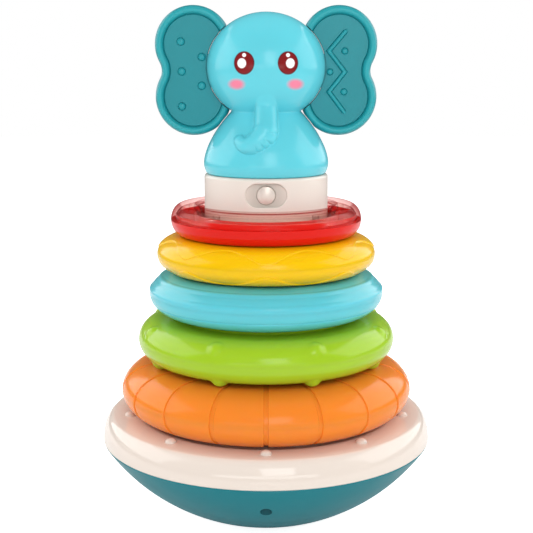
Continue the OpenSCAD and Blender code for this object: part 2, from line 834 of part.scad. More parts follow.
// Ear outline: two round lobes joined by two hollow waists, drawn in by an inset
waist_half_w = lobe_r - waist_dent;
waist_r = (waist_half_w ^ 2 + lobe_half_gap ^ 2 - lobe_r ^ 2) / (2 * (lobe_r - waist_half_w));
waist_x = waist_half_w + waist_r;
lobe_turn = atan2(lobe_half_gap, waist_x);
function arc(x, z, r, from, to, steps) = [for (i = [0:steps - 1])
    let (a = from + (to - from) * i / steps) [x + r * cos(a), z + r * sin(a)]];
function ear_outline(inset) = concat(
    arc(0, lobe_half_gap, lobe_r - inset, -lobe_turn, 180 + lobe_turn, 20),
    arc(-waist_x, 0, waist_r + inset, lobe_turn, -lobe_turn, 5),
    arc(0, -lobe_half_gap, lobe_r - inset, 180 - lobe_turn, 360 + lobe_turn, 20),
    arc(waist_x, 0, waist_r + inset, 180 + lobe_turn, 180 - lobe_turn, 5)
);
ear_sides = 50;
rim_turn = 180 - asin(ear_panel_t / ear_t);
rim_steps = 6;
function rim_layer(a) = [for (p = ear_outline(rim_w / 2 * (1 - cos(a)))) [p[0], -ear_t / 2 * sin(a), p[1]]];
module ear_pad() {
    points = [for (i = [-rim_steps:rim_steps]) each rim_layer(rim_turn * i / rim_steps)];
    polyhedron(points, tube_faces(2 * rim_steps + 1, ear_sides));
}
module ear_mark(x, z, r) {
    reach = ear_panel_t + 2 * mark_h;
    translate([x, -reach / 2, z]) rotate([-90, 0, 0]) cylinder(r = r, h = reach, $fn = 32);
}
module ear_blank(side) {
    tab_in = ear_x - ear_pin_x + boss_r + 2;
    tab_out = lobe_r / 3;
    difference() {
        union() {
            difference() {
                ear_pad();
                translate([-side * ear_x, ear_t, ear_drop]) rotate([90, 0, 0]) linear_extrude(2 * ear_t) {
                    polygon([for (i = [0:63]) let (a = 360 * i / 64)
                        [(head_r + stack_gap) * cos(a), (head_half_h + stack_gap) * sin(a)]]);
                    translate([0, -head_mid_h]) for (way = [-1, 1]) scale([way, 1])
                        polygon(concat([[0, 0]], bell_points(-stack_gap), [[0, neck_h]]));
                }
            }
            translate([side * (tab_out - tab_in) / 2, 0, 0])
                cube([tab_in + tab_out, tab_t, tab_h], center = true);
        }
        translate([side * (ear_pin_x - ear_x), 0, 0]) rotate([90, 0, 0])
            cylinder(r = boss_r + fit_gap, h = 2 * ear_t, center = true);
    }
}

// The ear on the left of the face has dots, the other a zigzag bar with dots in its bends
module ear_left() {
    dot_rows = 5;
    pitch = 7.4;
    out_x = 5.7;
    in_x = 4;
    shift = 0.8;
    color(ear_teal) translate([-ear_x, 0, ear_z]) {
        ear_blank(-1);
        for (i = [0:dot_rows - 1])
            ear_mark(i % 2 == 0 ? -out_x : in_x, pitch * ((dot_rows - 1) / 2 - i) - shift, dot_r);
    }
}
module ear_right() {
    bends = 4;
    pitch = 9.5;
    swing = 4;
    shift = 0.5;
    small_dot_r = dot_r - 0.3;
    function bend_x(i) = swing * (i % 2 == 0 ? 1 : -1) - shift;
    function bend_z(i) = pitch * (bends / 2 - i) - shift;
    color(ear_teal) translate([ear_x, 0, ear_z]) {
        ear_blank(1);
        for (i = [0:bends - 1])
            hull() {
                ear_mark(bend_x(i), bend_z(i), zigzag_r);
                ear_mark(bend_x(i + 1), bend_z(i + 1), zigzag_r);
            }
        for (i = [1:bends - 1])
            ear_mark(bend_x(i + 1), bend_z(i), small_dot_r);
    }
}

// Collar: a plain ring with a snap lip, four pillars and an oval recess for the button
module oval(w, h, depth) {
    r = h / 2;
    for (x = [-1, 1])
        translate([x * (w / 2 - r), 0, 0]) cylinder(r = r, h = depth);
    translate([r - w / 2, -r, 0]) cube([w - h, h, depth]);
}
module collar_shell() {
    rotate_extrude() difference() {
        union() {
            difference() {
                translate([0, collar_z]) square([collar_r, collar_h]);
                translate([collar_r - collar_round, head_z - collar_round])
                    square([collar_round + 1, collar_round + 1]);
            }
            translate([collar_r - collar_round, head_z - collar_round]) circle(r = collar_round, $fn = 48);
            translate([0, head_z - 1]) square([snap_r, snap_lip_h + 1]);
            translate([0, head_z + snap_lip_h - 3 * bead_r + fit_gap / 2])
                square([snap_r + bead_r, 2 * bead_r]);
        }
        translate([-1, collar_z - 1]) square([collar_in_r + 1, collar_h - top_plate_t + 1]);
        translate([-1, collar_z]) square([snap_r - 1.8 + 1, collar_h + snap_lip_h + 1]);
    }
}
module collar() {
    guide_margin = 1.6;
    color(cream) difference() {
        union() {
            collar_shell();
            for (a = pillar_angles)
                rotate(a) translate([pillar_ring_r, 0, floor_top_z])
                    cylinder(r = boss_r, h = head_z - top_plate_t / 2 - floor_top_z);
            intersection() {
                translate([0, -guide_back_y, button_z]) rotate([90, 0, 0])
                    oval(recess_w + 2 * guide_margin, recess_h + 2 * guide_margin, collar_r);
                translate([0, 0, collar_z])
                    cylinder(r = collar_r - collar_wall / 2, h = collar_h - top_plate_t / 2);
            }
        }
        translate([0, -recess_floor_y, button_z]) rotate([90, 0, 0]) oval(recess_w, recess_h, collar_r);
        translate([0, 0, button_z]) rotate([90, 0, 0]) cylinder(r = button_bore_r, h = collar_r + 1);
        for (a = pillar_angles)
            rotate(a) translate([pillar_ring_r, 0, floor_top_z - 1]) cylinder(r = pilot_r, h = screw_len);
    }
}

// Floor plate: socket for the post's spigot, speaker seat, cell tube and board rails
module collar_floor() {
    plate_r = collar_in_r - fit_gap;
    sound_holes = 6;
    sound_hole_r = 1;
    color(cream) difference() {
        union() {
            translate([0, 0, collar_z]) cylinder(r = plate_r, h = floor_t);
            translate([0, 0, collar_z]) cylinder(r = socket_r + socket_wall, h = speaker_z - collar_z);
            translate([0, 0, speaker_z - 1]) difference() {
                cylinder(r = speaker_r + fit_gap + speaker_seat_wall, h = speaker_t / 2 + 1);
                translate([0, 0, 1]) cylinder(r = speaker_r + fit_gap, h = speaker_t);
            }
            translate([0, cell_y, collar_z])
                cylinder(r = cell_tube_r + cell_wall, h = cell_top_z + contact_t + cell_wall - collar_z);
            translate([door_screw_x, door_screw_y, collar_z]) cylinder(r = boss_r, h = door_t + screw_len);
            for (x = [-rail_x, rail_x])
                translate([x - rail_w / 2, -board_y - rail_wall, floor_top_z - 1])
                    cube([rail_w, board_t + 2 * rail_wall, rail_h + 1]);
        }
        translate([0, 0, collar_z - 1]) cylinder(r = socket_r, h = socket_roof_z - collar_z + 1);
        around(sound_holes, spigot_r / 2)
            translate([0, 0, socket_roof_z - 1]) cylinder(r = sound_hole_r, h = socket_wall + 2, $fn = 24);
        translate([0, cell_y, collar_z - 1])
            cylinder(r = cell_tube_r, h = cell_top_z + contact_t - collar_z + 1);
        door_outline(fit_gap, collar_z - 1, door_t + fit_gap + 1);
        translate([door_screw_x, door_screw_y, collar_z - 1])
            cylinder(r = pilot_r, h = screw_len + head_sink);
        translate([-board_half_w - fit_gap, -board_y - fit_gap, board_low_z])
            cube([2 * (board_half_w + fit_gap), board_t + 2 * fit_gap, rail_h + floor_t]);
        for (a = pillar_angles)
            rotate(a) translate([pillar_ring_r, 0, collar_z - 1]) {
                cylinder(r = clear_r, h = floor_t + 2);
                cylinder(r = recess_r, h = head_sink + 1);
                translate([0, 0, floor_t + 1]) cylinder(r = boss_r + fit_gap, h = collar_h);
            }
    }
}
module door_outline(grow, z, h) {
    translate([0, cell_y, z]) cylinder(r = cell_tube_r + cell_wall / 2 + grow, h = h);
    translate([door_screw_x, door_screw_y, z]) cylinder(r = screw_head_r + door_margin / 2 + grow, h = h);
    bar = screw_head_r + grow;
    translate([0, door_screw_y - bar, z]) cube([door_screw_x, 2 * bar, h]);
}
module collar_screws() {
    color(steel) for (a = pillar_angles)
        rotate(a) translate([pillar_ring_r, 0, collar_z + head_sink]) screw();
}

// Electronics: a board on edge with its switch and lamp, a speaker and three cells
module circuit_board() {
    color([0.1, 0.4, 0.2]) translate([-board_half_w, -board_y, board_low_z])
        cube([2 * board_half_w, board_t, board_top_z - board_low_z]);
}
module tact_switch() {
    color([0.15, 0.15, 0.16]) difference() {
        translate([-switch_half, -switch_front_y, button_z - switch_half])
            cube([2 * switch_half, switch_depth, 2 * switch_half]);
        translate([0, -switch_front_y + plunger_in + button_travel + fit_gap, button_z]) rotate([90, 0, 0])
            cylinder(r = plunger_r + fit_gap, h = switch_depth + 5);
    }
}
module lamp() {
    lamp_r = 2.5;
    lamp_h = 5;
    color([0.95, 0.95, 0.9, 0.7]) translate([0, -board_y + board_t / 2, board_top_z]) {
        cylinder(r = lamp_r + 0.4, h = 1);
        cylinder(r = lamp_r, h = lamp_h);
        translate([0, 0, lamp_h]) intersection() {
            sphere(r = lamp_r, $fn = 48);
            cylinder(r = lamp_r, h = lamp_r);
        }
    }
}
module speaker() {
    magnet_r = speaker_r * 0.55;
    frame_t = 1.6;
    color([0.12, 0.12, 0.13]) translate([0, 0, speaker_z]) {
        cylinder(r = speaker_r, h = frame_t);
        translate([0, 0, frame_t]) cylinder(r1 = speaker_r - 1, r2 = magnet_r + 1, h = speaker_t / 3);
        cylinder(r = magnet_r, h = speaker_t);
    }
}
module button_cells() {
    color([0.8, 0.81, 0.83]) translate([0, cell_y, cell_z]) for (i = [0:cell_count - 1])
        translate([0, 0, i * (cell_t + cell_gap)]) {
            cylinder(r = cell_r * 0.82, h = cell_t);
            translate([0, 0, 0.5]) cylinder(r = cell_r, h = cell_t - 0.5);
        }
}
module cell_contacts() {
    color([0.85, 0.7, 0.35]) for (z = [cell_z - contact_t, cell_top_z])
        translate([0, cell_y, z]) cylinder(r = cell_r * 0.7, h = contact_t);
}
module battery_door() {
    color(cream) difference() {
        door_outline(0, collar_z, door_t);
        translate([door_screw_x, door_screw_y, collar_z - 1]) {
            cylinder(r = clear_r, h = door_t + 2);
            cylinder(r = recess_r, h = head_sink + 1);
        }
    }
}
module door_screw() {
    color(steel) translate([door_screw_x, door_screw_y, collar_z + head_sink]) screw(screw_len - head_sink);
}

// Push button: domed cap, retaining flange and stem behind it
module push_button() {
    dome = 0.9;
    stem_r = 2;
    flange_flat = button_drop - top_plate_t - fit_gap;
    flange_y = guide_back_y - fit_gap;
    stem_y = switch_front_y + plunger_out;
    body_h = button_face_y - dome - flange_y;
    dome_r = (button_r ^ 2 + dome ^ 2) / (2 * dome);
    color([0.9, 0.87, 0.83]) translate([0, 0, button_z]) rotate([90, 0, 0]) {
        translate([0, 0, flange_y - button_flange_t]) intersection() {
            cylinder(r = button_flange_r, h = button_flange_t);
            translate([-button_flange_r, -button_flange_r, 0])
                cube([2 * button_flange_r, button_flange_r + flange_flat, button_flange_t]);
        }
        translate([0, 0, flange_y]) cylinder(r = button_r, h = body_h);
        intersection() {
            translate([0, 0, button_face_y - dome_r]) sphere(r = dome_r, $fn = 120);
            translate([0, 0, button_face_y - dome]) cylinder(r = button_r, h = dome + 1);
        }
        translate([0, 0, stem_y]) cylinder(r = stem_r, h = flange_y - button_flange_t - stem_y);
    }
}
module switch_plunger() {
    color([0.1, 0.1, 0.1]) translate([0, 0, button_z]) rotate([90, 0, 0])
        translate([0, 0, switch_front_y - plunger_in]) cylinder(r = plunger_r, h = plunger_in + plunger_out);
}

base_bowl();
base_cover();
base_screws();
counterweight();
weight_screws();
center_post();
post_screws();
orange_ring_top();
orange_ring_bottom();
green_ring_top();
green_ring_bottom();
blue_ring_top();
blue_ring_bottom();
yellow_ring_top();
yellow_ring_bottom();
red_ring_dome();
red_ring_bottom();
head_front();
head_back();
head_screws();
ear_left();
ear_right();
collar();
collar_floor();
collar_screws();
circuit_board();
tact_switch();
lamp();
speaker();
button_cells();
cell_contacts();
battery_door();
door_screw();
push_button();
switch_plunger();
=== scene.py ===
import math

import bmesh
import bpy
from mathutils import Matrix, Vector


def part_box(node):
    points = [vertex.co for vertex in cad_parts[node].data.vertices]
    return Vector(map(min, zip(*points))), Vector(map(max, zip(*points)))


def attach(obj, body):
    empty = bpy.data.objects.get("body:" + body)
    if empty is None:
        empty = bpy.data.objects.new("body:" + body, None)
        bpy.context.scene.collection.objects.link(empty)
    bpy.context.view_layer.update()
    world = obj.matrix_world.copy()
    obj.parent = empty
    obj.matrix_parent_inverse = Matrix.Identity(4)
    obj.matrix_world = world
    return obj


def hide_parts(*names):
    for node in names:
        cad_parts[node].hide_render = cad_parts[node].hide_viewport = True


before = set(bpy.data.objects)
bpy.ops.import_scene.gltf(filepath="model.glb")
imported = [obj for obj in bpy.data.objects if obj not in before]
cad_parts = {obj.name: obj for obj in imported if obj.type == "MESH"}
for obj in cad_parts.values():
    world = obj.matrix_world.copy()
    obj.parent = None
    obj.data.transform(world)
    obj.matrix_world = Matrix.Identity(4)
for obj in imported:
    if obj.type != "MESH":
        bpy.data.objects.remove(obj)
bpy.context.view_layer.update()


# Studio: a pale glowing floor under a white surround, as in a light tent. Two broad soft boxes stand at the sides,
# smaller ones in front and overhead, and the camera looks a little down at the toy as the photograph does.
scene = bpy.context.scene
scene.view_settings.view_transform = "Standard"
floor_shape = bmesh.new()
bmesh.ops.create_circle(floor_shape, cap_ends=True, segments=128, radius=3.0)
floor_mesh = bpy.data.meshes.new("studio_floor")
floor_shape.to_mesh(floor_mesh)
floor_shape.free()
floor = bpy.data.objects.new("studio_floor", floor_mesh)
scene.collection.objects.link(floor)
floor_paint = bpy.data.materials.new("pale_floor")
floor_paint.use_nodes = True


def feed(tree, node, inputs):
    """Sets a node's inputs, by name or number, each to a value or to the output that drives it."""
    for socket, value in inputs.items():
        if isinstance(value, bpy.types.NodeSocket):
            tree.links.new(value, node.inputs[socket])
        else:
            node.inputs[socket].default_value = value


def add(tree, kind, inputs, output=0, **settings):
    """Adds a shader node with its settings and its inputs, and gives back one of its outputs."""
    node = tree.nodes.new("ShaderNode" + kind)
    for setting, value in settings.items():
        setattr(node, setting, value)
    feed(tree, node, inputs)
    return node.outputs[output]


floor_tree = floor_paint.node_tree
floor_shader = floor_tree.nodes["Principled BSDF"]
floor_grey, floor_glow = (0.86, 0.86, 0.86, 1), 0.85
feed(floor_tree, floor_shader, {"Base Color": floor_grey, "Roughness": 0.85, "Specular IOR Level": 0.1})
floor_lit = add(floor_tree, "AddShader", {
    0: floor_shader.outputs["BSDF"], 1: add(floor_tree, "Emission", {"Strength": floor_glow}),
})
floor_seen = add(floor_tree, "MixShader", {
    "Fac": add(floor_tree, "LightPath", {}, "Is Camera Ray"), 1: floor_shader.outputs["BSDF"], 2: floor_lit,
})
feed(floor_tree, floor_tree.nodes["Material Output"], {"Surface": floor_seen})
floor.data.materials.append(floor_paint)

tent = bpy.data.worlds.new("white_tent")
scene.world = tent
tent.use_nodes = True
tent_tree = tent.node_tree
tent_path = tent_tree.nodes.new("ShaderNodeLightPath")
white = (1.0, 1.0, 1.0, 1)
feed(tent_tree, tent_tree.nodes["Background"], {"Color": white, "Strength": 0.3})
tent_lit = tent_tree.nodes["Background"].outputs[0]
for rays, strength in (("Is Glossy Ray", 0.12), ("Is Transmission Ray", 0.9), ("Is Camera Ray", 1.0)):
    tent_shown = add(tent_tree, "Background", {"Color": white, "Strength": strength})
    tent_lit = add(tent_tree, "MixShader", {"Fac": tent_path.outputs[rays], 1: tent_lit, 2: tent_shown})
feed(tent_tree, tent_tree.nodes["World Output"], {"Surface": tent_lit})
toy_middle = Vector((0, 0, 0.12))
for box_name, side_turn, rise, away, width, height, power, mirrored in [
    ("left_box", -108, 25, 0.9, 1.35, 0.72, 6.0, True),
    ("right_box", 108, 25, 0.9, 1.35, 0.72, 6.0, True),
    ("overhead_box", 180, 75, 1.2, 0.9, 0.7, 5.5, False),
    ("front_box", 8, 24, 1.2, 0.45, 0.6, 3.0, True),
    ("front_fill", 0, 30, 1.2, 1.4, 0.7, 3.6, False),
    ("low_strip", 0, 5, 1.2, 1.6, 0.14, 1.7, True),
]:
    box_light = bpy.data.lights.new(box_name, "AREA")
    box_light.shape = "RECTANGLE"
    box_light.size = width
    box_light.size_y = height
    box_light.energy = power
    box_lamp = bpy.data.objects.new(box_name, box_light)
    scene.collection.objects.link(box_lamp)
    turn, lift = math.radians(side_turn), math.radians(rise)
    way = Vector((math.sin(turn) * math.cos(lift), -math.cos(turn) * math.cos(lift), math.sin(lift)))
    box_lamp.location = toy_middle + away * way
    box_lamp.rotation_euler = way.to_track_quat("Z", "Y").to_euler()
    box_lamp.visible_glossy = mirrored

camera_tilt = 0.1801
camera = bpy.data.objects.new("camera", bpy.data.cameras.new("camera"))
camera.data.sensor_width = 36
camera.data.lens = 75.84
camera.location = (0.0002, -0.5461, 0.2261)
camera.rotation_euler = (math.pi / 2 - camera_tilt, 0, 0)
scene.collection.objects.link(camera)
scene.camera = camera


# Bowl: the lower half of the base, a deep teal slice of a ball moulded in glossy plastic. It stands on a
# small flat, and screws go up through four wells into the cover, one of them in front.
def ink(red, green, blue):
    """A colour as it is seen, from 0 to 255, made linear for the shaders."""
    def linear(level):
        share = level / 255
        return share / 12.92 if share <= 0.04045 else ((share + 0.055) / 1.055) ** 2.4
    return linear(red), linear(green), linear(blue), 1.0


def calc(tree, operation, *values):
    """Adds a sum of numbers or outputs, and gives back its result."""
    return add(tree, "Math", dict(enumerate(values)), operation=operation)


def moulded_skin_group():
    """Faint clouds of tone, uneven gloss and the fine grain that a polished mould leaves on plastic."""
    group = bpy.data.node_groups.new("moulded_skin", "ShaderNodeTree")
    for socket, kind, value in [
        ("Colour", "NodeSocketColor", (0.5, 0.5, 0.5, 1)), ("Tone", "NodeSocketFloat", 0.05),
        ("Gloss", "NodeSocketFloat", 0.2), ("Grain", "NodeSocketFloat", 0.03),
    ]:
        group.interface.new_socket(socket, in_out="INPUT", socket_type=kind).default_value = value
    for socket, kind in [
        ("Colour", "NodeSocketColor"), ("Roughness", "NodeSocketFloat"), ("Normal", "NodeSocketVector"),
    ]:
        group.interface.new_socket(socket, in_out="OUTPUT", socket_type=kind)
    asked = group.nodes.new("NodeGroupInput").outputs
    place = add(group, "TexCoord", {}, "Object")
    clouds = add(group, "TexNoise", {"Vector": place, "Scale": 34, "Detail": 3}, "Fac")
    peel = add(group, "TexNoise", {"Vector": place, "Scale": 420, "Detail": 2}, "Fac")
    centred = calc(group, "SUBTRACT", clouds, 0.5)
    shade = calc(group, "MULTIPLY_ADD", centred, asked["Tone"], 1.0)
    feed(group, group.nodes.new("NodeGroupOutput"), {
        "Colour": add(group, "VectorMath", {0: asked["Colour"], "Scale": shade}, operation="SCALE"),
        "Roughness": calc(group, "MULTIPLY_ADD", centred, 0.08, asked["Gloss"]),
        "Normal": add(group, "Bump", {"Distance": 0.0002, "Height": peel, "Strength": asked["Grain"]}),
    })
    return group


moulded_skin = moulded_skin_group()


soak_length = 0.006


def moulded(name, colour, gloss=0.16, tone=0.06, grain=0.03, glow=0.0, metal=0.0, shine=0.33):
    """A moulded material. Glow is how much of the light soaks into it, shine the strength of its mirror."""
    plastic = bpy.data.materials.new(name)
    plastic.use_nodes = True
    tree = plastic.node_tree
    skin = tree.nodes.new("ShaderNodeGroup")
    skin.name = "skin"
    skin.node_tree = moulded_skin
    feed(tree, skin, {"Colour": colour, "Tone": tone, "Gloss": gloss, "Grain": grain})
    feed(tree, tree.nodes["Principled BSDF"], {
        "Base Color": skin.outputs["Colour"], "Roughness": skin.outputs["Roughness"],
        "Normal": skin.outputs["Normal"], "Metallic": metal, "Specular IOR Level": shine,
        "Subsurface Weight": glow, "Subsurface Radius": colour[:3], "Subsurface Scale": soak_length,
    })
    plastic.diffuse_color = colour
    return plastic


def revolve(outline, steps=192, loop=True):
    """A turned shape: the outline's (radius, height) points are joined up and spun round the post's axis.
    Each vertex keeps its point's number as its row. An outline that meets the axis at both ends is no loop."""
    shape = bmesh.new()
    row = shape.verts.layers.int.new("row")
    points = [shape.verts.new((r, 0.0, z)) for r, z in outline]
    for number, point in enumerate(points):
        point[row] = number
    pairs = zip(points, points[1:] + points[:1]) if loop else zip(points, points[1:])
    edges = [shape.edges.new(pair) for pair in pairs]
    bmesh.ops.spin(
        shape, geom=points + edges, cent=(0, 0, 0), axis=(0, 0, 1), dvec=(0, 0, 0),
        angle=math.tau, steps=steps, use_merge=True, use_duplicate=False,
    )
    bmesh.ops.remove_doubles(shape, verts=shape.verts, dist=1e-6)
    bmesh.ops.dissolve_degenerate(shape, edges=shape.edges, dist=1e-7)
    bmesh.ops.recalc_face_normals(shape, faces=shape.faces)
    return shape


def piece_from(shape, name, finish=None, crease=32):
    """The finished object of a shape: smooth, with edges kept where faces meet at more than the crease."""
    mesh = bpy.data.meshes.new(name)
    shape.to_mesh(mesh)
    shape.free()
    mesh.shade_smooth()
    mesh.set_sharp_from_angle(angle=math.radians(crease))
    piece = bpy.data.objects.new(name, mesh)
    scene.collection.objects.link(piece)
    if finish:
        mesh.materials.append(finish)
    return piece


def carve(piece, tool_shape, operation, crease=32):
    """Joins a tool shape to a piece, or cuts the piece by it, and removes the tool."""
    tool = piece_from(tool_shape, "tool")
    change = piece.modifiers.new("carve", "BOOLEAN")
    change.object = tool
    change.operation = operation
    change.solver = "EXACT"
    depsgraph = bpy.context.evaluated_depsgraph_get()
    carved = bpy.data.meshes.new_from_object(piece.evaluated_get(depsgraph))
    piece.modifiers.clear()
    carved.name = piece.name
    piece.data = carved
    carved.shade_smooth()
    carved.set_sharp_from_angle(angle=math.radians(crease))
    bpy.data.objects.remove(tool)


def shape_of(piece):
    """Takes a piece's mesh back as a shape, and removes the piece."""
    shape = bmesh.new()
    shape.from_mesh(piece.data)
    bpy.data.objects.remove(piece)
    return shape


def pegs(places, radius, low, high, segments=40):
    """Upright round pegs from one height to another, at places in plan."""
    shape = bmesh.new()
    for x, y in places:
        bmesh.ops.create_cone(
            shape, cap_ends=True, segments=segments, radius1=radius, radius2=radius, depth=high - low,
            matrix=Matrix.Translation((x, y, (low + high) / 2)),
        )
    return shape


def ring_of_places(count, radius, start=-90.0):
    """Places evenly round the axis, the first at the given angle, which is the front."""
    turns = [math.radians(start + 360 * i / count) for i in range(count)]
    return [(radius * math.cos(turn), radius * math.sin(turn)) for turn in turns]


def stand_in(piece, body, slot, *nodes):
    """Says which body a piece rides on and which CAD nodes it stands for. The slot is not used."""
    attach(piece, body)
    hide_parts(*nodes)


def reach_tint_group():
    """Mixes a tint into a colour where a place's reach along the given axes goes from near to far."""
    group = bpy.data.node_groups.new("reach_tint", "ShaderNodeTree")
    for socket, kind in [
        ("Colour", "NodeSocketColor"), ("Tint", "NodeSocketColor"), ("Place", "NodeSocketVector"),
        ("Axes", "NodeSocketVector"), ("Near", "NodeSocketFloat"), ("Far", "NodeSocketFloat"),
    ]:
        group.interface.new_socket(socket, in_out="INPUT", socket_type=kind)
    group.interface.new_socket("Colour", in_out="OUTPUT", socket_type="NodeSocketColor")
    asked = group.nodes.new("NodeGroupInput").outputs
    kept = add(group, "VectorMath", {0: asked["Place"], 1: asked["Axes"]}, operation="MULTIPLY")
    reach = add(group, "VectorMath", {0: kept}, "Value", operation="LENGTH")
    share = add(group, "MapRange", {"Value": reach, "From Min": asked["Near"], "From Max": asked["Far"]})
    layers = {"Factor": share, "A": asked["Colour"], "B": asked["Tint"]}
    mix = add(group, "Mix", layers, "Result", data_type="RGBA")
    feed(group, group.nodes.new("NodeGroupOutput"), {"Colour": mix})
    return group


reach_tint = reach_tint_group()


def tint_by_reach(material, axes, near, far, tint, four_at=None):
    """Places the reach tint in a material. With four_at, reach is counted from the nearest of four places at that
    distance out on the two axes."""
    tree = material.node_tree
    place = add(tree, "TexCoord", {}, "Object")
    if four_at:
        split = tree.nodes.new("ShaderNodeSeparateXYZ")
        feed(tree, split, {0: add(tree, "VectorMath", {0: place}, operation="ABSOLUTE")})
        sides = split.outputs["X"], split.outputs["Y"]
        out = calc(tree, "SUBTRACT", calc(tree, "MAXIMUM", *sides), four_at)
        place = add(tree, "CombineXYZ", {"X": out, "Y": calc(tree, "MINIMUM", *sides)})
    tinted = add(tree, "Group", {
        "Colour": tree.nodes["skin"].outputs["Colour"], "Tint": tint, "Place": place, "Axes": axes,
        "Near": near, "Far": far,
    }, "Colour", node_tree=reach_tint)
    feed(tree, tree.nodes["Principled BSDF"], {"Base Color": tinted})


foot_radius = 0.018
bowl_wall = 0.0026
rim_round = 0.0005
bowl_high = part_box("base_bowl")[1]
rim_radius, seam_height = bowl_high.x, bowl_high.z
ball_height = (rim_radius**2 + seam_height**2 - foot_radius**2) / (2 * seam_height)
ball_radius = math.hypot(foot_radius, ball_height)


def spread(first, last, steps):
    """Values at even steps from first to last."""
    return [first + (last - first) * i / steps for i in range(steps + 1)]


def ball_arc(radius, low_turn, high_turn, steps=40):
    """Points on a meridian of the ball, between two angles from straight down."""
    return [(radius * math.sin(t), ball_height - radius * math.cos(t)) for t in spread(low_turn, high_turn, steps)]


foot_turn = math.asin(foot_radius / ball_radius)
rim_turn = math.acos((ball_height - seam_height) / ball_radius)
inner_radius = ball_radius - bowl_wall
inner_rim_turn = math.acos((ball_height - seam_height) / inner_radius)
bowl_outline = [(0.0, 0.0)] + ball_arc(ball_radius, foot_turn, rim_turn - rim_round / ball_radius)
bowl_outline += [(rim_radius - rim_round, seam_height)] + ball_arc(inner_radius, inner_rim_turn, 0.0)
bowl_teal = moulded("bowl_teal", ink(20, 122, 132), gloss=0.34, tone=0.05, shine=0.2)
bowl = piece_from(revolve(bowl_outline, loop=False), "base_bowl_shell", bowl_teal)
screw_head_radius, screw_head_height = 0.0025, 0.0018
screw_low, screw_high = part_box("base_screws")
well_radius, well_wall, well_floor, well_start = 0.00265, 0.0022, 0.0024, 0.005
well_top = screw_low.z + screw_head_height
well_out = screw_high.x - screw_head_radius
well_places = ring_of_places(4, well_out)
bosses = piece_from(pegs(well_places, well_radius + well_wall, 0.0, well_top + well_floor), "well_bosses")
carve(bosses, revolve(ball_arc(ball_radius - bowl_wall / 2, 0.0, math.pi), loop=False), "INTERSECT")
carve(bowl, shape_of(bosses), "UNION")
carve(bowl, pegs(well_places, well_radius, -well_start, well_top), "DIFFERENCE")
# Painted shade: the teal darkens inside the four screw wells, where shade falls in the holes.
well_shade_start, well_shade_full = well_radius * 1.06, well_radius * 0.98
tint_by_reach(bowl_teal, (1, 1, 0), well_shade_start, well_shade_full, ink(8, 62, 70), well_out)
stand_in(bowl, "base", "teal_shell", "base_bowl")


# Cover: the cream upper half of the base, a polished plastic shell with a rounded shoulder, a crown with nine
# small nubs and a shallow seat for the lowest ring. It snaps into the bowl and is screwed from below.
cover_wall, shoulder_width, seat_dip = 0.0024, 0.006, 0.0009
nub_count, nub_radius, nub_ring, nub_squash = 9, 0.0027, 0.0682, 0.7
seat_radius, crown_inner = 0.058, 0.064
crown_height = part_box("base_cover")[1].z - nub_radius
seat_height = crown_height - seat_dip
crown_outer = rim_radius - shoulder_width


def quarter(steps):
    """Angles of a quarter turn."""
    return spread(0.0, math.pi / 2, steps)


def shoulder(grow, steps=24):
    """The cover's shoulder as a quarter ellipse from the seam up to the crown."""
    width, height = shoulder_width + grow, crown_height - seam_height + grow
    return [(crown_outer + width * math.cos(t), seam_height + height * math.sin(t)) for t in quarter(steps)]


seat_steps = 12
seat_curve = [
    (radius, crown_height - seat_dip * (1 - math.cos(turn)) / 2)
    for radius, turn in zip(spread(crown_inner, seat_radius, seat_steps), spread(0.0, math.pi, seat_steps))
]
cover_outline = [(rim_radius - rim_round, seam_height), (rim_radius, seam_height + rim_round)] + shoulder(0.0)[2:]
cover_outline += seat_curve + [(0.0, seat_height), (0.0, seat_height - cover_wall)]
cover_outline += [(r, z - cover_wall) for r, z in seat_curve[::-1]] + shoulder(-cover_wall)[::-1]
cover_cream = moulded("cover_cream", ink(230, 217, 206), gloss=0.08, tone=0.03, grain=0.01, shine=0.5)
cover = piece_from(revolve(cover_outline), "base_cover_shell", cover_cream)


def balls(places, radius, squash, around=32, up=20):
    """Balls of a radius at places, flattened by the squash along each axis."""
    shape = bmesh.new()
    for place in places:
        bmesh.ops.create_uvsphere(
            shape, u_segments=around, v_segments=up, radius=radius,
            matrix=Matrix.Translation(place) @ Matrix.Diagonal((*squash, 1)),
        )
    return shape


nub_places = [(x, y, crown_height) for x, y in ring_of_places(nub_count, nub_ring)]
carve(cover, balls(nub_places, nub_radius, (1, 1, nub_squash)), "UNION")
stand_in(cover, "base", "cream_shell", "base_cover")


# Weight and fasteners of the base: a cast iron disc inside the bowl and plated steel screws with cross slots.
# They keep the shapes of the CAD nodes, with their round faces shaded smooth.
def smoothed(node, body, slot, finish, crease=30):
    """A copy of a CAD node with its split edges merged and its round faces smooth, which stands for the node."""
    shape = bmesh.new()
    shape.from_mesh(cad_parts[node].data)
    bmesh.ops.remove_doubles(shape, verts=shape.verts, dist=1e-6)
    stand_in(piece_from(shape, node + "_smooth", finish, crease), body, slot, node)


iron = moulded("cast_iron", ink(92, 92, 96), gloss=0.55, tone=0.35, grain=0.6, metal=0.8)
plated_steel = moulded("plated_steel", ink(205, 207, 212), gloss=0.28, tone=0.12, grain=0.08, metal=1.0)
smoothed("counterweight", "base", "iron_weight", iron)
for node in ("base_screws", "weight_screws", "post_screws"):
    smoothed(node, "base", "steel_screws", plated_steel)


# Post: a tapered cream column on a flange, hollow, with a spigot at its top that the elephant unit drops over.
# It is screwed to the cover and hidden by the rings until they are lifted.
post_cream = moulded("post_cream", ink(245, 238, 229), gloss=0.24, tone=0.05, grain=0.04)
smoothed("center_post", "base", "cream_shell", post_cream)


# Orange ring: the largest, two hollow halves welded at a seam, in glossy orange plastic. Eighteen flat-bottomed
# grooves run across both halves from the hole to the seam.
ring_hole, hole_round, ring_wall = 0.0315, 0.004, 0.0022


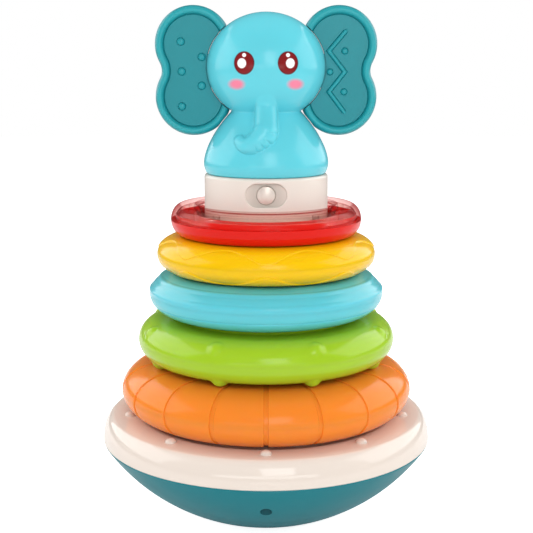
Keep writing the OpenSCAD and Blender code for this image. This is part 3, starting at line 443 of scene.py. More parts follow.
def ring_size(lower_node, upper_node):
    """Outer radius, half height and middle height of a ring, from its two halves."""
    low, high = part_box(lower_node)[0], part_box(upper_node)[1]
    return high.x, (high.z - low.z) / 2, (high.z + low.z) / 2


def outer_curve(radius, half_height, edge, steps=30):
    """A quarter ellipse from the seam up to the flat of a ring's face."""
    return [(radius - edge + edge * math.cos(t), half_height * math.sin(t)) for t in quarter(steps)]


def hole_curve(half_height, hole=ring_hole, rounding=hole_round, steps=10):
    """A quarter ellipse from the flat of a ring's face down into its hole."""
    return [(hole + rounding * (1 - math.sin(t)), half_height * math.cos(t)) for t in quarter(steps)]


def inner_side(radius, half_height, edge, steps=16):
    """The inside of a hollow half, from the hole back out to the seam."""
    height = half_height - ring_wall
    outside = [
        (radius - edge + (edge - ring_wall) * math.cos(t), height * math.sin(t)) for t in quarter(steps)
    ]
    return (outside + hole_curve(height, ring_hole + ring_wall, hole_round - ring_wall, 6))[::-1]


def half_ring(skin, inside, middle, side, steps=192):
    """A hollow half of a ring, above the seam where side is 1 and below it where side is -1."""
    return revolve([(r, middle + side * z) for r, z in skin + inside], steps)


def finish_half(shape, ring, half, finish, crease=32):
    """Makes the piece of a half ring, which rides on its ring's body and stands for its CAD node."""
    piece = piece_from(shape, f"{ring}_{half}", finish, crease)
    stand_in(piece, f"{ring}_ring", f"{ring}_shell", f"{ring}_ring_{half}")


groove_count, groove_half_width, groove_depth = 18, 0.001, 0.0006
groove_pitch = math.tau / groove_count
groove_lines = (0.0, 0.55, 0.85, 0.95, 1.05, 1.15, 1.6)
full_depth, no_depth = 0.85, 1.15
columns_per_groove = 16


def cut_grooves(shape, skin, side):
    """Gathers the columns of a turned half ring at the grooves' edges and sinks the skin between them."""
    row = shape.verts.layers.int["row"]
    sinks = [Vector((-1.0, 0.0))]
    for before, after in zip(skin, skin[2:]):
        sinks.append(Vector((before[1] - after[1], after[0] - before[0])).normalized())
    sinks.append(Vector((1.0, 0.0)))
    for vert in shape.verts:
        radius, turn = math.hypot(vert.co.x, vert.co.y), math.atan2(vert.co.y, vert.co.x)
        number, column = divmod(
            round((turn + math.pi / 2) % math.tau / groove_pitch * columns_per_groove), columns_per_groove
        )
        way = 1
        if column > columns_per_groove / 2:
            number, column, way = number + 1, columns_per_groove - column, -1
        last = len(groove_lines) - 1
        reach = groove_lines[min(column, last)]
        swing = math.asin(reach * groove_half_width / radius)
        if column > last:
            swing += (groove_pitch / 2 - swing) * (column - last) / (columns_per_groove / 2 - last)
        turn = number * groove_pitch - math.pi / 2 + way * swing
        if vert[row] < len(skin) and reach < no_depth:
            sink = sinks[vert[row]] * groove_depth * min(1.0, (no_depth - reach) / (no_depth - full_depth))
            radius += sink.x
            vert.co.z += side * sink.y
        vert.co.x, vert.co.y = radius * math.cos(turn), radius * math.sin(turn)


orange = moulded("orange_gloss", ink(244, 135, 45), gloss=0.16, tone=0.05, glow=0.3, shine=0.22)
orange_radius, orange_half, orange_middle = ring_size("orange_ring_bottom", "orange_ring_top")
orange_edge = 0.0185
for half, side in (("top", 1), ("bottom", -1)):
    skin = outer_curve(orange_radius, orange_half, orange_edge) + hole_curve(orange_half)
    shape = half_ring(
        skin, inner_side(orange_radius, orange_half, orange_edge), orange_middle, side,
        groove_count * columns_per_groove,
    )
    cut_grooves(shape, skin, side)
    finish_half(shape, "orange", half, orange, 50)


# Green ring: two hollow halves in glossy lime plastic. Each face has a low hub land round the hole, which carries
# the next ring, and eight round nubs that flow into the surface, on the round above and on the flat below.
green_edge, land_height, land_width = 0.0114, 0.0016, 0.006
green_nubs, green_nub_radius, green_nub_inset, nub_blend = 8, 0.0042, 0.0082, 0.002
green_nub_turn, green_nub_rise = math.radians(45), 0.0012
land_edge = [(0.0006, 0.0), (0.0002, 0.1), (0.0, 0.35), (-0.0002, 0.8), (-0.0005, 0.96), (-0.001, 1.0)]
green_radius, green_half, green_middle = ring_size("green_ring_bottom", "green_ring_top")
face_height = green_half - land_height
land_inner = ring_hole + hole_round
flat_steps = 14
flat_outer, flat_inner = green_radius - green_edge, land_inner + land_width + land_edge[0][0]
green_skin = outer_curve(green_radius, face_height, green_edge)
green_skin += [(radius, face_height) for radius in spread(flat_outer, flat_inner, flat_steps)[1:-1]]
green_skin += [(land_inner + land_width + out, face_height + land_height * share) for out, share in land_edge]
green_skin += [(land_inner - out, face_height + land_height * share) for out, share in land_edge[:1:-1]]
green_skin += hole_curve(face_height)


def smooth_max(a, b, blend):
    """The larger of two heights, with a round of the given size where they meet."""
    share = min(1.0, max(0.0, 0.5 + 0.5 * (b - a) / blend))
    return a + (b - a) * share + blend * share * (1 - share)


def raise_nubs(shape, skin, side, ball, way):
    """Draws the skin out over balls that lie in it, so that each nub flows into it: the ball's middle and the way
    that it stands out are given as radius and height in the ring's section."""
    row = shape.verts.layers.int["row"]
    for vert in shape.verts:
        if vert[row] >= len(skin):
            continue
        turn = math.atan2(vert.co.y, vert.co.x)
        share = turn / math.tau + 0.25
        swing = math.tau / green_nubs * (share * green_nubs % 1.0 - 0.5)
        place = Vector(skin[vert[row]])
        out = way.dot(place - ball)
        away = math.hypot(way.cross(place - ball), place.x * math.sin(swing))
        if out < -nub_blend or away > 2 * green_nub_radius:
            continue
        if away < green_nub_radius:
            dome = math.sqrt(green_nub_radius**2 - away**2)
        else:
            dome = -2 * (away - green_nub_radius)
        place += way * (smooth_max(out, dome, nub_blend) - out)
        vert.co = (place.x * math.cos(turn), place.x * math.sin(turn), green_middle + side * place.y)


green = moulded("lime_gloss", ink(162, 201, 42), gloss=0.16, tone=0.05, glow=0.3, shine=0.33)
round_way = Vector((math.cos(green_nub_turn), math.sin(green_nub_turn)))
round_sunk = green_nub_radius - green_nub_rise
round_ball = Vector((
    green_radius - green_edge + (green_edge - round_sunk) * round_way.x, (face_height - round_sunk) * round_way.y,
))
flat_ball = Vector((green_radius - green_nub_inset, face_height + land_height - green_nub_radius))
for half, side, ball, way in (("top", 1, round_ball, round_way), ("bottom", -1, flat_ball, Vector((0.0, 1.0)))):
    shape = half_ring(green_skin, inner_side(green_radius, face_height, green_edge), green_middle, side, 400)
    raise_nubs(shape, green_skin, side, ball, way)
    finish_half(shape, "green", half, green, 60)


# Blue ring: two hollow halves in glossy sky blue plastic. Two soft ridges run round the upper half and a fine
# groove round the lower one.
blue_edge, ridge_reach, ridge_height = 0.0149, 0.002, 0.0005
ridge_turns = (math.radians(15), math.radians(50))
line_turn, line_reach, line_depth = math.radians(25), 0.0006, 0.0005
blue_radius, blue_half, blue_middle = ring_size("blue_ring_bottom", "blue_ring_top")


def lined_curve(marks, steps=110):
    """The outer curve with soft ridges or grooves on it: each mark is its angle, its reach to either side and how
    far it stands out, which is less than nothing for a groove."""
    def at(t):
        return Vector((blue_radius - blue_edge + blue_edge * math.cos(t), blue_half * math.sin(t)))
    curve = []
    for t in quarter(steps):
        lift = 0.0
        for turn, reach, height in marks:
            away = (at(t) - at(turn)).length
            if away < reach:
                lift += height * (1 + math.cos(math.pi * away / reach)) / 2
        outward = Vector((math.cos(t) / blue_edge, math.sin(t) / blue_half)).normalized()
        curve.append(tuple(at(t) + lift * outward))
    return curve


blue = moulded("sky_gloss", ink(97, 198, 212), gloss=0.16, tone=0.05, glow=0.3)
for half, side, marks in (
    ("top", 1, [(turn, ridge_reach, ridge_height) for turn in ridge_turns]),
    ("bottom", -1, [(line_turn, line_reach, -line_depth)]),
):
    skin = lined_curve(marks) + hole_curve(blue_half)
    shape = half_ring(skin, inner_side(blue_radius, blue_half, blue_edge), blue_middle, side)
    finish_half(shape, "blue", half, blue)


# Yellow ring: two hollow halves in glossy yellow plastic. Each face has a raised land whose outer edge runs in
# eight waves.
yellow_edge, wave_count, wave_inset, wave_swing, wave_height = 0.0124, 8, 0.004, 0.0031, 0.0005
step_rows = [(-0.034, 0.0), (-0.018, 0.08), (-0.006, 0.35), (0.006, 0.7), (0.018, 0.94), (0.034, 1.0)]
low_shares = [i / 14 for i in range(13)]
high_shares = [0.12, 0.24, 0.36, 0.5, 0.64, 0.78, 0.9, 1.0]
yellow_radius, yellow_half, yellow_middle = ring_size("yellow_ring_bottom", "yellow_ring_top")
yellow_turned = yellow_radius - yellow_edge
body_edge, body_half = yellow_edge - wave_height, yellow_half - wave_height


def waved_curve(wave_radius):
    """The outer curve of a yellow half where the land's edge lies at the given radius."""
    step_turn = math.acos((wave_radius - yellow_turned) / (yellow_edge - wave_height / 2))
    rows = [(step_turn * share, 0.0) for share in low_shares]
    rows += [(step_turn + nudge, lift) for nudge, lift in step_rows]
    rows += [(step_turn + (math.pi / 2 - step_turn) * share, 1.0) for share in high_shares]
    return [
        (yellow_turned + (body_edge + wave_height * lift) * math.cos(turn),
         (body_half + wave_height * lift) * math.sin(turn))
        for turn, lift in rows
    ]


def wave_radius(turn):
    """The radius of the land's edge at an angle round the ring."""
    return yellow_radius - wave_inset + wave_swing * math.cos(wave_count * (turn + math.pi / 2))


def run_waves(shape, curve_rows, side):
    """Moves each column of the outer curve so that the land's edge follows the wave."""
    row = shape.verts.layers.int["row"]
    curves = {}
    for vert in shape.verts:
        if vert[row] < curve_rows:
            turn = math.atan2(vert.co.y, vert.co.x)
            key = round(turn, 4)
            if key not in curves:
                curves[key] = waved_curve(wave_radius(turn))
            r, z = curves[key][vert[row]]
            vert.co = (r * math.cos(turn), r * math.sin(turn), yellow_middle + side * z)


yellow = moulded("yellow_gloss", ink(248, 192, 10), gloss=0.16, tone=0.05, glow=0.3, shine=0.24)
plain_curve = waved_curve(yellow_radius - wave_inset)
brim_width, brim_drop = 0.0005, 0.00015
land_brim = [(land_inner + brim_width, yellow_half), (land_inner, yellow_half - brim_drop)]
for half, side in (("top", 1), ("bottom", -1)):
    skin = plain_curve + land_brim + hole_curve(body_half)
    shape = half_ring(skin, inner_side(yellow_radius - wave_height, body_half, body_edge), yellow_middle, side, 288)
    run_waves(shape, len(plain_curve), side)
    finish_half(shape, "yellow", half, yellow, 40)


# Red ring: an opaque red lower half, whose lips stand up inside a clear dome of pale red polystyrene. Five small
# posts in the dome locate it when it is welded.
red_edge, lip_height, lip_gap, lip_thick, lip_root = 0.0058, 0.0026, 0.0002, 0.0012, 0.0035
red_radius, red_half, red_middle = ring_size("red_ring_bottom", "red_ring_dome")
red_skin = outer_curve(red_radius, red_half, red_edge, 24) + hole_curve(red_half)
red_inside = inner_side(red_radius, red_half, red_edge)
lip_out = ring_wall + lip_gap
hole_lip = [
    (ring_hole + lip_out, 0.0), (ring_hole + lip_out, -lip_height),
    (ring_hole + lip_out + lip_thick, -lip_height), (ring_hole + lip_out + lip_thick, lip_root),
]
rim_lip = [
    (red_radius - lip_out - lip_thick, lip_root), (red_radius - lip_out - lip_thick, -lip_height),
    (red_radius - lip_out, -lip_height), (red_radius - lip_out, 0.0),
]
red_floor = [point for point in red_inside if point[1] > lip_root]
red = moulded("red_gloss", ink(216, 27, 18), gloss=0.16, tone=0.05, glow=0.2, shine=0.18)
finish_half(half_ring(red_skin, hole_lip + red_floor + rim_lip, red_middle, -1), "red", "bottom", red)


edge_power, flat_level, round_level = 2.5, 0.99, 0.93


def clear_plastic(name, tint, depth_tint, painted_edge_shade, density, clear_share, gloss=0.03, refraction=1.49):
    """A clear plastic that takes on its depth tint where light runs far through it. A painted dark edge, standing in
    for the shade and reflection that refraction gives such edges, is mixed in where a rounded wall turns away from
    the camera or its rim attribute says so. The clear share of the light passes unbent, as through a thin wall, and
    all of it in the shadow."""
    plastic = bpy.data.materials.new(name)
    plastic.use_nodes = True
    tree = plastic.node_tree
    shader = tree.nodes["Principled BSDF"]
    skin = tree.nodes.new("ShaderNodeGroup")
    skin.node_tree = moulded_skin
    feed(tree, skin, {"Gloss": gloss, "Grain": 0.01})
    feed(tree, shader, {
        "Base Color": tint, "Transmission Weight": 1.0, "IOR": refraction,
        "Roughness": skin.outputs["Roughness"], "Normal": skin.outputs["Normal"],
    })
    rays = tree.nodes.new("ShaderNodeLightPath").outputs
    # Painted edge shade, seen by the camera only: rounded walls take the edge colour where they turn away.
    turned = add(tree, "LayerWeight", {}, "Facing")
    edge = calc(tree, "POWER", turned, edge_power)
    upright = add(tree, "SeparateXYZ", {0: add(tree, "TexCoord", {}, "Normal")}, "Z")
    level = calc(tree, "ABSOLUTE", upright)
    rounded = add(tree, "MapRange", {"Value": level, "From Min": flat_level, "From Max": round_level})
    round_edge = calc(tree, "MULTIPLY", edge, rounded)
    rim = add(tree, "Attribute", {}, "Fac", attribute_name="rim")
    tinted = calc(tree, "MAXIMUM", round_edge, rim)
    seen = calc(tree, "MULTIPLY", tinted, rays["Is Camera Ray"])
    wall = add(tree, "Mix", {"Factor": seen, "A": tint, "B": painted_edge_shade}, "Result", data_type="RGBA")
    passing = add(tree, "BsdfTransparent", {"Color": wall})
    clearness = calc(tree, "MAXIMUM", rays["Is Shadow Ray"], clear_share)
    feed(tree, tree.nodes["Material Output"], {
        "Surface": add(tree, "MixShader", {"Fac": clearness, 1: shader.outputs["BSDF"], 2: passing}),
        "Volume": add(tree, "VolumeAbsorption", {"Color": depth_tint, "Density": density}),
    })
    plastic.diffuse_color = tint
    return plastic


clear_red = clear_plastic(
    "clear_pale_red", ink(255, 252, 250), ink(250, 100, 60), ink(170, 0, 4), density=14, clear_share=0.92,
)
dome = piece_from(half_ring(red_skin, red_inside, red_middle, 1), "red_dome", clear_red)
post_radius, post_count = 0.0016, 5
weld_posts = pegs(
    ring_of_places(post_count, (ring_hole + red_radius) / 2, -90 + 180 / post_count), post_radius,
    red_middle, red_middle + red_half - ring_wall / 2,
)
carve(dome, weld_posts, "UNION")
# Painted shade: a thin dark red line round the top of the dome's hole, marked by the rim attribute, in place of the
# dark edge that refraction gives the dome's curve there.
rim_width, rim_depth = 0.0020, 0.0015
painted_rim_line = dome.data.attributes.new("rim", "FLOAT", "POINT")
for vertex, tint in zip(dome.data.vertices, painted_rim_line.data):
    near_hole = vertex.co.xy.length < ring_hole + rim_width
    tint.value = float(near_hole and vertex.co.z > red_middle + red_half - rim_depth)
stand_in(dome, "red_ring", "clear_red_dome", "red_ring_dome")


# Collar: a plain cream band under the elephant with a rounded upper edge and a snap lip that the elephant's
# shells clip over. An oval recess in front takes the button, and painted shade makes its floor and walls greyer.
collar_wall, collar_round, foot_round = 0.0022, 0.0015, 0.0005
snap_outer, snap_inner, snap_height, top_plate = 0.0264, 0.0246, 0.0034, 0.0024
collar_low, collar_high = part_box("collar")
collar_radius, collar_foot = collar_high.x, collar_low.z
collar_top = collar_high.z - snap_height
collar_outline = [
    (collar_radius - collar_wall, collar_foot), (collar_radius - foot_round, collar_foot),
    (collar_radius, collar_foot + foot_round),
]
collar_outline += [
    (collar_radius - collar_round * (1 - math.cos(t)), collar_top - collar_round * (1 - math.sin(t)))
    for t in quarter(8)
]
collar_outline += [
    (snap_outer, collar_top), (snap_outer, collar_high.z), (snap_inner, collar_high.z),
    (snap_inner, collar_top - top_plate), (collar_radius - collar_wall, collar_top - top_plate),
]
collar_cream = moulded("collar_cream", ink(233, 223, 213), gloss=0.22, tone=0.04, grain=0.03, glow=0.15)
collar = piece_from(revolve(collar_outline), "collar_band", collar_cream)
button_low, button_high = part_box("push_button")
flange_radius = 0.0057
button_height = button_low.z + flange_radius
recess_width, recess_height, recess_depth, recess_round = 0.019, 0.011, 0.0024, 0.0007
guide_margin, guide_depth, guide_sunk, button_bore = 0.0016, 0.0044, 0.001, 0.0045
bore_start, bore_over = 0.015, 0.002


def oval(width, height, turn_steps=20, straight_steps=6):
    """An oval with straight sides, as points across and up from its middle."""
    end, half = (width - height) / 2, height / 2
    points = []
    for way in (1, -1):
        points += [
            (way * (end + half * math.sin(turn)), -way * half * math.cos(turn))
            for turn in spread(0.0, math.pi, turn_steps)
        ]
        points += [(way * end * (1 - 2 * i / straight_steps), way * half) for i in range(1, straight_steps)]
    return points


def stacked(loops):
    """A closed shape drawn on from one loop to the next, which have equal numbers of points, capped at both ends."""
    shape = bmesh.new()
    number = shape.verts.layers.int.new("number")
    points = [shape.verts.new(place) for place in loops[0]]
    for i, point in enumerate(points):
        point[number] = i
    edges = [shape.edges.new(pair) for pair in zip(points, points[1:] + points[:1])]
    bmesh.ops.contextual_create(shape, geom=edges)
    for loop in loops[1:]:
        drawn = bmesh.ops.extrude_edge_only(shape, edges=edges)["geom"]
        edges = [item for item in drawn if isinstance(item, bmesh.types.BMEdge) and item.is_boundary]
        for point in [item for item in drawn if isinstance(item, bmesh.types.BMVert)]:
            point.co = loop[point[number]]
    bmesh.ops.contextual_create(shape, geom=edges)
    bmesh.ops.recalc_face_normals(shape, faces=shape.faces)
    if shape.calc_volume(signed=True) < 0:
        bmesh.ops.reverse_faces(shape, faces=shape.faces)
    return shape


def recess_layer(grow, depth, flat=None):
    """A layer of the recess: an oval laid on the collar's round face at a depth below it, or on a flat."""
    points = oval(recess_width + 2 * grow, recess_height + 2 * grow)
    return [
        (x, -flat if flat else depth - math.sqrt(collar_radius**2 - x**2), button_height + z) for x, z in points
    ]


recess_floor = collar_radius - recess_depth
# Painted shade: the cream turns greyer inwards from the collar's face, over the recess's walls and floor and the
# band's inside.
tint_by_reach(collar_cream, (1, 1, 0), collar_radius - recess_round / 4, recess_floor, ink(200, 191, 181))
guide = stacked([recess_layer(guide_margin, 0, collar_radius - guide_depth), recess_layer(guide_margin, guide_sunk)])
carve(collar, guide, "UNION")
mouth = [(recess_round * (1 - math.sin(t)), recess_round * (1 - math.cos(t))) for t in quarter(6)]
recess = stacked(
    [recess_layer(recess_round, -bore_over)] + [recess_layer(grow, depth) for grow, depth in mouth]
    + [recess_layer(0.0, 0.0, recess_floor)]
)
carve(collar, recess, "DIFFERENCE")
bore = pegs([(0.0, 0.0)], button_bore, bore_start, collar_radius + bore_over, 64)
to_front = Matrix.Translation((0, 0, button_height)) @ Matrix.Rotation(math.pi / 2, 4, "X")
bmesh.ops.transform(bore, matrix=to_front, verts=bore.verts)
carve(collar, bore, "DIFFERENCE")
stand_in(collar, "top_unit", "cream_shell", "collar")


# Button: a pearly cap with a domed face that stands in the collar's recess, with a flange that keeps it in and a
# stem that presses the switch.
cap_radius, cap_dome, cap_round, flange_thick, stem_radius = 0.0043, 0.0009, 0.0005, 0.0012, 0.002
cap_face, stem_end = -button_low.y, -button_high.y
stem_length, flange_trim, dome_steps = 0.0021, 0.0006, 12
flange_back = stem_end + stem_length
dome_curve = (cap_radius**2 + cap_dome**2) / (2 * cap_dome)
dome_turn = math.asin((cap_radius - cap_round) / dome_curve)
cap_outline = [
    (dome_curve * math.sin(t), cap_face - dome_curve * (1 - math.cos(t))) for t in spread(0.0, dome_turn, dome_steps)
]
edge_height = cap_outline[-1][1]
cap_outline += [
    (cap_radius - cap_round * (1 - math.sin(t)), edge_height - cap_round * (1 - math.cos(t)))
    for t in quarter(6)[1:]
]
cap_outline += [
    (cap_radius, flange_back + flange_thick), (flange_radius - flange_trim, flange_back + flange_thick),
    (flange_radius - flange_trim, flange_back), (stem_radius, flange_back), (stem_radius, stem_end), (0.0, stem_end),
]
cap_shape = revolve(cap_outline, 96, loop=False)
bmesh.ops.transform(cap_shape, matrix=to_front, verts=cap_shape.verts)
pearl = moulded("button_pearl", ink(226, 216, 206), gloss=0.3, tone=0.05, grain=0.02, metal=0.25)
stand_in(piece_from(cap_shape, "button_cap", pearl), "button", "button_cap", "push_button")


# Works in the collar: a floor plate with a socket for the post, a board with its switch and lamp, a speaker,
# button cells with brass contacts and a screwed door. All of it is closed in.
inner_cream = moulded("inner_cream", ink(238, 230, 220), gloss=0.35, tone=0.06, grain=0.1)
solder_mask = moulded("solder_mask", ink(28, 110, 62), gloss=0.4, tone=0.2, grain=0.1)
black_plastic = moulded("black_plastic", ink(38, 38, 40), gloss=0.45, tone=0.2, grain=0.15)
cell_can = moulded("cell_can", ink(214, 216, 220), gloss=0.22, tone=0.1, grain=0.05, metal=1.0)
brass = moulded("contact_brass", ink(214, 178, 96), gloss=0.3, tone=0.15, grain=0.06, metal=1.0)
clear_epoxy = clear_plastic(
    "clear_epoxy", ink(250, 250, 240), ink(240, 240, 220), ink(230, 230, 210), density=10, clear_share=0.2,
)
for node, slot, finish in (
    ("collar_floor", "cream_shell", inner_cream), ("battery_door", "cream_shell", inner_cream),
    ("collar_screws", "steel_screws", plated_steel), ("door_screw", "steel_screws", plated_steel),
    ("circuit_board", "board_green", solder_mask), ("tact_switch", "switch_black", black_plastic),
    ("speaker", "switch_black", black_plastic), ("lamp", "lamp_clear", clear_epoxy),
    ("button_cells", "cell_can", cell_can), ("cell_contacts", "contact_brass", brass),
):
    smoothed(node, "top_unit", slot, finish)
smoothed("switch_plunger", "button", "switch_black", black_plastic)


# Elephant: a bell-shaped body and a round head in two glossy turquoise shells, front and back, that clip over the
# collar and are screwed together from behind. The trunk lies in relief on the chest and the face is printed.
head_low, head_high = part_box("head_front")
body_foot, body_swell, swell_up, neck_radius, neck_up, body_draw = 0.0288, 0.0014, 0.005, 0.01665, 0.030, 1.7
head_radius, head_half, neck_blend = 0.0284, 0.0258, 0.0012
body_level = head_low.z
head_up = head_high.z - head_half - body_level


def elephant_radius(up):
    """The radius of body and head at a height above the body's foot, with a soft crease at the neck."""
    if up < swell_up:
        return body_foot + body_swell * math.sin(math.pi / 2 * up / swell_up)
    drawn = ((up - swell_up) / (neck_up - swell_up)) ** body_draw
    body = neck_radius + (body_foot + body_swell - neck_radius) * (1 - drawn)
    head = head_radius * math.sqrt(max(0.0, 1 - ((up - head_up) / head_half) ** 2))
    return smooth_max(body, head, neck_blend)


trunk_root, trunk_bend, curl_radius, curl_turn = 0.036, 0.022, 0.0066, math.radians(145)
curl_share, slim_share, trunk_half, trunk_swell, tip_slim, trunk_flat = 0.4, 0.5, 0.0046, 0.0024, 1.07, 0.75
trunk_stands, trunk_sinks, root_blend, chest_blend, tip_flat = 0.0012, 0.0006, 0.0035, 0.0009, 1.7
trunk_folds, fold_depth, fold_width, curl_lean = (0.43, 0.56, 0.65, 0.74), 0.0012, 0.015, 0.0013
trunk_front, trunk_side, trunk_lowest, trunk_highest, side_slope = 0.008, 0.022, 0.006, 0.046, 6


def trunk_line(count=170):
    """Places along the trunk: across, up, how far out its middle lies, half width, blend with the skin and fold."""
    places = []
    chest = elephant_radius(trunk_bend) + trunk_stands
    root = elephant_radius(trunk_root) - trunk_flat * trunk_half - trunk_sinks
    for i in range(count + 1):
        share = i / count
        across, up = 0.0, trunk_root + (trunk_bend - trunk_root) * share / curl_share
        out = root + (chest - root) * (1 - math.cos(math.pi / 2 * min(1.0, share / curl_share)))
        if share > curl_share:
            turn = curl_turn * (share - curl_share) / (1 - curl_share)
            across = -curl_radius * (1 - math.cos(turn))
            up = trunk_bend - curl_radius * math.sin(turn) + curl_lean * math.sin(2 * turn)
            out = math.sqrt(elephant_radius(up) ** 2 - across**2) + trunk_stands
        half = (trunk_half + trunk_swell * min(share, slim_share)) * (1 - tip_slim * max(0.0, share - slim_share))
        blend = root_blend + (chest_blend - root_blend) * min(1.0, share / curl_share)
        fold = fold_depth * sum(math.exp(-(((share - at) / fold_width) ** 2)) for at in trunk_folds)
        places.append((across, up, out, half, blend, fold))
    return places


def raise_trunk(shape):
    """Draws the front of the skin out over the trunk, so that its sides run softly into chest and face."""
    places = trunk_line()
    curl_centre = Vector((-curl_radius, trunk_bend))
    tip_across, tip_up = places[-1][0], places[-1][1]
    tip_way = Vector((tip_across - places[-2][0], tip_up - places[-2][1])).normalized()
    for vert in shape.verts:
        x, out, up = vert.co.x, -vert.co.y, vert.co.z - body_level
        if out < trunk_front or abs(x) > trunk_side or not trunk_lowest < up < trunk_highest:
            continue
        best, best_blend, nearest, folded = 0.0, chest_blend, math.inf, 0.0
        for across, level, middle, half, blend, fold in places:
            if abs(x - across) > 2 * half or abs(up - level) > 2 * half:
                continue
            away = math.hypot(x - across, up - level)
            if away < nearest:
                outside = (Vector((x, up)) - curl_centre).length - (Vector((across, level)) - curl_centre).length
                nearest, folded = away, fold * min(1.0, max(0.0, outside / half)) if away < half else 0.0
            if across == tip_across and level == tip_up:
                along = max(0.0, (x - across) * tip_way.x + (up - level) * tip_way.y)
                away = math.sqrt(away**2 + (tip_flat**2 - 1) * along**2)
            if away < half:
                height = middle + trunk_flat * math.sqrt(half**2 - away**2)
            else:
                height = middle - side_slope * (away - half)
            if height > best:
                best, best_blend = height, blend
        vert.co.y = -smooth_max(out, best - folded, best_blend)


def crowd_to_front(shape, front_share=0.4):
    """Draws the columns of a turned shape together at the front, where the fine detail is."""
    for vert in shape.verts:
        radius = math.hypot(vert.co.x, vert.co.y)
        share = (math.atan2(vert.co.y, vert.co.x) / math.tau + 0.75) % 1.0 - 0.5
        turn = math.tau * share * (front_share + (1 - front_share) * (2 * share) ** 2) - math.pi / 2
        vert.co.x, vert.co.y = radius * math.cos(turn), radius * math.sin(turn)


fine_top, fine_steps, crown_steps, foot_curve, foot_soft = 0.046, 170, 90, 0.0008, 0.00024
ups = spread(foot_curve, fine_top, fine_steps)[:-1]
lowest_turn = math.acos((head_up - fine_top) / head_half)
ups += [head_up - head_half * math.cos(t) for t in spread(lowest_turn, math.pi, crown_steps)[:-1]]
elephant_outline = [(0.0, body_level), (body_foot - foot_curve, body_level)]
elephant_outline += [(body_foot - foot_soft, body_level + foot_soft)]
elephant_outline += [(elephant_radius(up), body_level + up) for up in ups] + [(0.0, head_high.z)]
elephant = revolve(elephant_outline, 256, loop=False)
crowd_to_front(elephant)
raise_trunk(elephant)
bmesh.ops.recalc_face_normals(elephant, faces=elephant.faces)


def shell_half(whole, side, line_width=0.00025):
    """The half of a shape in front (side -1) or behind (side 1), with a fine line drawn in at the seam."""
    half = whole.copy()
    half.normal_update()
    for level in (side * line_width, 0.0):
        cut = bmesh.ops.bisect_plane(
            half, geom=half.verts[:] + half.edges[:] + half.faces[:], dist=1e-7,
            plane_co=(0, level, 0), plane_no=(0, -side, 0), clear_outer=level == 0.0,
        )["geom_cut"]
    half.normal_update()
    for vert in [item for item in cut if isinstance(item, bmesh.types.BMVert)]:
        vert.co -= line_width * Vector((vert.normal.x, 0, vert.normal.z)).normalized()
    bmesh.ops.contextual_create(half, geom=[item for item in cut if isinstance(item, bmesh.types.BMEdge)])
    bmesh.ops.recalc_face_normals(half, faces=half.faces)
    return half


turquoise_ink = ink(100, 207, 221)
turquoise = moulded("turquoise_gloss", turquoise_ink, gloss=0.18, tone=0.05, glow=0.12)
face_turquoise = moulded("printed_turquoise", turquoise_ink, gloss=0.18, tone=0.05, glow=0.12)


def print_spot(tree, under, colour, centre, half_size, soft):
    """Prints an oval spot at each side of the face: centre is across and up, soft the width of its edge."""
    place = add(tree, "VectorMath", {0: add(tree, "TexCoord", {}, "Object")}, operation="ABSOLUTE")
    moved = add(tree, "VectorMath", {0: place, 1: (centre[0], 0, centre[1])}, operation="SUBTRACT")
    scale = (1 / half_size[0], 0, 1 / half_size[1])
    scaled = add(tree, "VectorMath", {0: moved, 1: scale}, operation="MULTIPLY")
    reach = add(tree, "VectorMath", {0: scaled}, "Value", operation="LENGTH")
    edges = {"Value": reach, "From Min": 1 + soft, "From Max": 1 - soft}
    inside = add(tree, "MapRange", edges, interpolation_type="SMOOTHSTEP")
    return add(tree, "Mix", {"Factor": inside, "A": under, "B": colour}, "Result", data_type="RGBA")


face_tree = face_turquoise.node_tree
printed = face_tree.nodes["skin"].outputs["Colour"]
for colour, centre, half_size, soft in [
    (ink(240, 132, 160), (0.01355, 0.21607), (0.0034, 0.0022), 0.45),
    (ink(96, 24, 34), (0.0100, 0.2257), (0.0047, 0.00525), 0.05),
    (ink(134, 28, 30), (0.0100, 0.2257), (0.0042, 0.00475), 0.08),
    (ink(255, 255, 255), (0.01107, 0.22557), (0.0020, 0.00224), 0.1),
    (ink(255, 255, 255), (0.0100, 0.22924), (0.0009, 0.0009), 0.15),
]:
    printed = print_spot(face_tree, printed, colour, centre, half_size, soft)
feed(face_tree, face_tree.nodes["Principled BSDF"], {"Base Color": printed})
face = piece_from(shell_half(elephant, -1), "elephant_front", face_turquoise, 50)
stand_in(face, "top_unit", "turquoise_shell", "head_front")
back = piece_from(shell_half(elephant, 1), "elephant_back", turquoise, 50)
elephant.free()
back_seat, back_clear, lowest_screw_up, pin_across = 0.009, 0.045, 0.014, 0.0204
ear_low, ear_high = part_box("ear_right")
ear_level = (ear_low.z + ear_high.z) / 2
back_wells = pegs(
    [(-pin_across, ear_level), (pin_across, ear_level), (0.0, body_level + lowest_screw_up)], well_radius,
    -back_clear, -back_seat,
)
bmesh.ops.transform(back_wells, matrix=Matrix.Rotation(math.pi / 2, 4, "X"), verts=back_wells.verts)
carve(back, back_wells, "DIFFERENCE", 50)
stand_in(back, "top_unit", "turquoise_shell", "head_back")
smoothed("head_screws", "top_unit", "steel_screws", plated_steel)


